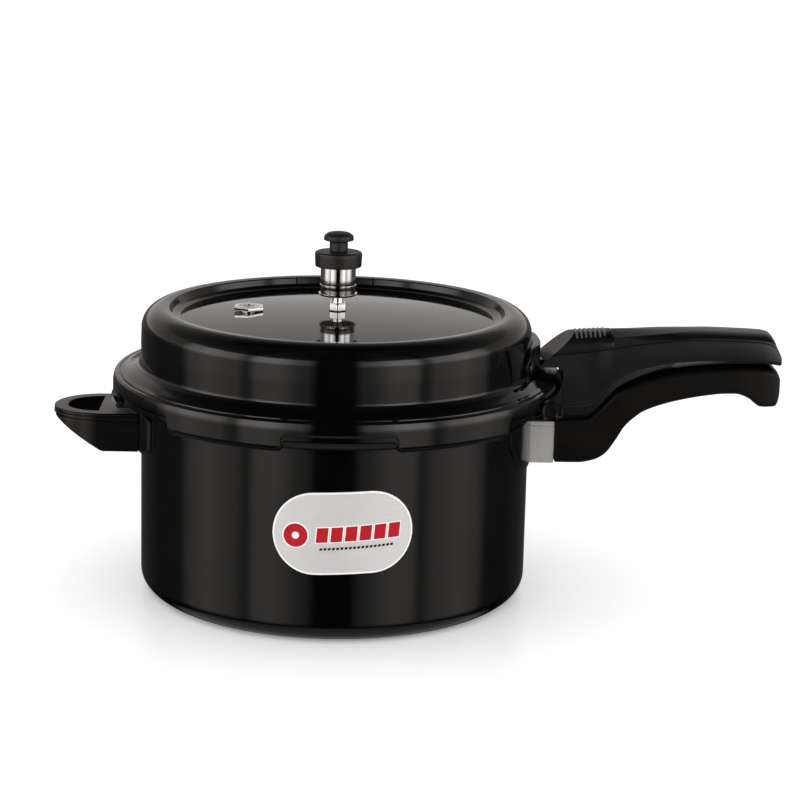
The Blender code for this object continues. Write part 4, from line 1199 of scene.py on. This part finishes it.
def ring_piece(name, node, inner, outer, finish, body, slot, x=0.0):
    low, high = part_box(node)[0].z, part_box(node)[1].z
    edge = min(0.35 * MM, 0.3 * (high - low))
    loop = filleted([(inner, low, edge), (outer, low, edge), (outer, high, edge), (inner, high, edge)], 4, True)
    piece(name, moved(turned(loop, SMALL, ring=True), x), finish, body, slot, node)


def vent_and_valve():
    """The vent pipe with its nut and washer, and the safety valve's four pieces."""
    pipe = filleted(in_mm([
        (1.2, 151.4, 0.2), (6, 151.4, 0.5), (6, 153.6, 0.3),
        (3.2, 153.6, 0.2), (3.2, 174.5, 0.6), (2.2, 176, 0.3),
        (1.2, 176, 0.2),
    ]), 4, True)
    piece("vent_tube", turned(pipe, SMALL, ring=True), CHROME_FINISH, "lid", "chrome", "vent_pipe")
    hexagonal = hexagon(5.6 * MM, 159.3 * MM, 163.9 * MM, 0.5 * MM, 30, 2 * MM)
    nut = carved(hexagonal, cut(rod(3.5 * MM, 155 * MM, 170 * MM, 48)))
    piece("vent_nut", nut, CHROME_FINISH, "lid", "chrome", "vent_pipe_nut")
    ring_piece("vent_washer", "vent_pipe_washer", 3.5 * MM, 6.5 * MM, RUBBER_FINISH, "lid", "rubber")
    head = hexagon(9.5 * MM, 158.6 * MM, 160.6 * MM, 0.35 * MM)
    shank = rod(5 * MM, 148 * MM, 159.4 * MM)
    bore = turned(in_mm([(0, 140), (2.2, 140), (2.2, 159.6), (3.5, 159.6), (3.5, 170),
                   (0, 170)]), 48)
    groove = turned(in_mm([(5.2, 160.15), (6.0, 160.15), (6.0, 163), (5.2, 163)]), 48, True)
    pins = [
        moved(rod(0.6 * MM, 159.9 * MM, 163 * MM, 24), 4.35 * MM * c, 4.35 * MM * s)
        for c, s in ((0, 1), (0, -1), (1, 0), (-1, 0))
    ]
    body = carved(head, join(shank), cut(bore), cut(groove), cut(*pins))
    piece("valve_body", moved(body, VALVE_X), CHROME_FINISH, "lid", "chrome", "safety_valve_body")
    plug = filleted(in_mm([
        (0, 150, 0), (1.9, 150, 0.3), (1.9, 159.75, 0.1), (3.2, 159.75, 0.1),
        (3.2, 160.3, 0.3), (0, 160.55, 0),
    ]))
    plug = moved(turned(plug, SMALL), VALVE_X)
    piece("valve_plug", plug, ALLOY_FINISH, "lid", "fusible_alloy", "safety_valve_plug")
    ring_piece("valve_washer", "safety_valve_washer", 5.3 * MM, 8 * MM, RUBBER_FINISH, "lid", "rubber", VALVE_X)
    low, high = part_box("safety_valve_nut")[0].z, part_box("safety_valve_nut")[1].z
    nut = carved(hexagon(8.6 * MM, low, high, 0.45 * MM), cut(rod(5.3 * MM, 140 * MM, 160 * MM, 48)))
    piece("valve_nut", moved(nut, VALVE_X), SCREW_FINISH, "lid", "screw_steel", "safety_valve_nut")


# ---------------------------------------------------------------- weight
def weight():
    """The pressure weight and, inside it, the clip that grips the vent pipe."""
    sleeve = filleted(in_mm([
        (9, 167.9, 0.2), (10.5, 167.9, 0.3), (10.9, 169.2, 0.15), (9.3, 169.3, 0.1), (9.3, 173.6, 0.1),
        (10.2, 173.8, 0.12), (10.2, 174.1, 0.12), (9.9, 174.2, 0.05), (9.9, 186.4, 0.4), (2.3, 186.4, 0.1),
        (2.3, 185.4, 0.1), (9, 185.4, 0.3),
    ]), 5, True)
    piece("weight_sleeve", turned(sleeve, 96, ring=True), CHROME_FINISH, "weight", "chrome", "weight_shell")
    band = filleted(in_mm([
        (9.34, 169.5, 0.05), (10, 169.5, 0.3), (9.7, 171.4, 0.8),
        (10, 173.4, 0.3), (9.34, 173.4, 0.05),
    ]), 5, True)
    piece("weight_band", turned(band, 96, ring=True), NICKEL_FINISH, "weight", "chrome")
    core = filleted(in_mm([
        (0, 185.1, 0), (8.7, 185.1, 0.3), (8.7, 168.3, 0.4),
        (3.6, 168.3, 0.4), (3.6, 171, 0.1), (5.2, 171, 0.1),
        (5.2, 173, 0.1), (3.6, 173, 0.1), (3.6, 176.5, 0.1), (0, 178.5, 0),
    ]), 3)
    block = carved(turned(core, SMALL), cut(rod(2.3 * MM, 180.5 * MM, 190 * MM, 32)))
    piece("weight_block", block, BRASS_FINISH, "weight", "core_brass", "weight_core")
    spindle = filleted(in_mm([(0, 180.9, 0), (2, 180.9, 0.3), (2, 198, 0.3), (0, 198, 0)]))
    piece("weight_stud", turned(spindle, 48), SCREW_FINISH, "weight", "screw_steel", "weight_spindle")
    cap = filleted(in_mm([
        (10.2, 184.2, 0.2), (13, 184.2, 0.7), (13.3, 190.0, 0.4), (13.3, 192.7, 1.9), (2.3, 192.7, 0.2),
        (2.3, 186.7, 0.1), (10.2, 186.7, 0.2),
    ]), 6, True)
    piece("weight_cap_ring", turned(cap, 96, ring=True), CAP_FINISH, "weight", "phenolic", "weight_cap")
    knob = filleted(in_mm([
        (0, 193, 0), (5.15, 193, 0.3), (5.15, 198.7, 0.9), (8.35, 199.1, 0.5),
        (8.35, 201.6, 1.2), (6.2, 203.3, 2.5), (2.6, 204, 3), (0, 204, 0),
    ]), 8)
    button = carved(turned(knob, 96), cut(rod(2.3 * MM, 190 * MM, 198.4 * MM, 32)))
    piece("weight_button", button, CAP_FINISH, "weight", "phenolic", "weight_knob")
    loop = filleted(in_mm([
        (3.5, 171.4, 0.3), (4.9, 171.4, 0.3), (4.9, 172.6, 0.3),
        (3.5, 172.6, 0.3),
    ]), 3, True)
    piece("grip_clip", swept(lambda _: loop, 0, 160, 8), SCREW_FINISH, "clip", "screw_steel", "weight_clip")


# ---------------------------------------------------------------- studio
BOX_STRENGTH = 5.3
DOME_STRENGTH = 1.15


def studio_floor():
    """A pale floor that catches shadows but stays out of reflections."""
    ground = bpy.data.meshes.new("studio_floor")
    reach = 12.0
    corners = [(-reach, -reach, 0), (reach, -reach, 0), (reach, reach, 0), (-reach, reach, 0)]
    ground.from_pydata(corners, [], [(0, 1, 2, 3)])
    floor = bpy.data.objects.new("studio_floor", ground)
    bpy.context.scene.collection.objects.link(floor)
    finish = surface("floor_sheet", IOR=1.3, Emission_Color=(1, 1, 1, 1), Emission_Strength=0.2)
    tree = finish.node_tree
    wire(
        finish,
        Base_Color=tinted(tree, noise(tree, 3, 2), (0.96, 0.96, 0.96), (0.98, 0.98, 0.98)),
        Roughness=ranged(tree, noise(tree, 5, 3), 0.16, 0.2),
    )
    ground.materials.append(finish)
    floor.location.z = -0.2 * MM
    floor.visible_glossy = False


def ramp(tree, value, stops, start=0):
    """A soft brightness curve of a value that runs over 180 degrees from start."""
    made = add(tree, "ShaderNodeValToRGB", {0: value})
    made.color_ramp.interpolation = "EASE"
    elements = made.color_ramp.elements
    while len(elements) < len(stops):
        elements.new(0.5)
    for element, (degrees, level) in zip(elements, stops):
        element.position = (degrees - start) / 180
        element.color = (level, level, level, 1)
    return made.outputs[0]


def maths(tree, operation, *values):
    """The output of a Math node, with its inputs in order."""
    return add(tree, "ShaderNodeMath", dict(enumerate(values)), operation=operation).outputs[0]


def studio_light():
    """A soft white dome for matt surfaces, with tall soft boxes and a bright far wall for gloss."""
    world = bpy.data.worlds.new("studio")
    bpy.context.scene.world = world
    world.use_nodes = True
    tree = world.node_tree
    tree.nodes.clear()
    direction = add(tree, "ShaderNodeTexCoord").outputs["Generated"]
    split = add(tree, "ShaderNodeSeparateXYZ", {0: direction})
    toward = maths(tree, "MULTIPLY", split.outputs[1], -1.0)
    swing = maths(tree, "ABSOLUTE", maths(tree, "ARCTAN2", split.outputs[0], toward))
    around = maths(tree, "DIVIDE", swing, math.pi)
    lift = maths(tree, "ARCSINE", split.outputs[2])
    up = ranged(tree, lift, 0, 1, -math.pi / 2, math.pi / 2)
    boxes = ramp(tree, around, [
        (9, 0.0), (18, 0.30), (36, 0.78), (45, 0.74), (52.5, 0.20), (61, 0.52), (79, 0.66), (90, 0.44),
        (103, 0.05), (125, 0.03), (180, 0.05),
    ])
    ground = ramp(tree, up, [(-60, 0.45), (-46, 0.4), (-36, 0.0)], -90)
    tall = ramp(tree, up, [
        (-36, 0.0), (-24, 0.16), (-19, 0.26), (-12, 0.30), (-3, 0.56), (6, 1.0), (24, 0.95), (30, 0.06),
        (50, 0.02), (90, 0.01),
    ], -90)
    wall = ramp(tree, around, [(70, 0.0), (110, 0.41), (150, 0.54)])
    band = ramp(tree, up, [
        (1, 0.0), (5, 1.0), (10, 0.78), (20, 0.62), (34, 0.45), (50, 0.22), (62, 0.03), (75, 0.0),
    ], -90)
    strips = maths(tree, "MULTIPLY", maths(tree, "MULTIPLY", boxes, tall), BOX_STRENGTH)
    gloss = maths(tree, "ADD", strips, maths(tree, "MULTIPLY", wall, band))
    gloss = maths(tree, "ADD", gloss, ground)
    path = add(tree, "ShaderNodeLightPath")
    soft = maths(tree, "MULTIPLY", path.outputs["Is Diffuse Ray"], DOME_STRENGTH)
    shine = maths(tree, "MULTIPLY", path.outputs["Is Glossy Ray"], gloss)
    total = maths(tree, "ADD", maths(tree, "ADD", soft, shine), path.outputs["Is Camera Ray"])
    tint = tinted(tree, path.outputs["Is Glossy Ray"], (1, 1, 1), (1.0, 0.955, 0.92))
    back = add(tree, "ShaderNodeBackground", {"Color": tint, "Strength": total})
    out = add(tree, "ShaderNodeOutputWorld", {0: back.outputs[0]})
    out.is_active_output = True
    view = bpy.context.scene.view_settings
    view.view_transform = "Standard"
    view.look = "None"


def studio_camera():
    """A camera at the photo's angle, from a fit to the pot's round outlines."""
    camera = bpy.data.cameras.new("studio_camera")
    camera.sensor_width = 36
    camera.lens = 36 * 2166.19 / 800
    camera.shift_y = -0.0788
    camera.clip_start = 0.05
    camera.clip_end = 60
    holder = bpy.data.objects.new("studio_camera", camera)
    bpy.context.scene.collection.objects.link(holder)
    pitch, yaw, roll = (math.radians(a) for a in (11.818, 1.701, -1.4605))
    ahead = Vector((math.sin(yaw) * math.cos(pitch), math.cos(yaw) * math.cos(pitch), -math.sin(pitch)))
    right = Vector((math.cos(yaw), -math.sin(yaw), 0))
    above = right.cross(ahead)
    c, s = math.cos(roll), math.sin(roll)
    axes = Matrix((c * right - s * above, s * right + c * above, -ahead)).transposed()
    holder.matrix_world = Matrix.Translation((0, -1.2, 0.39544)) @ axes.to_4x4()
    bpy.context.scene.camera = holder


# ---------------------------------------------------------------- assembly
pot()
label()
body_bracket()
helper_saddle()
body_grip()
helper_grip()
gasket()
lid_cover()
lid_saddle()
lid_grip()
vent_and_valve()
weight()
fastenings()
studio_floor()
studio_light()
studio_camera()
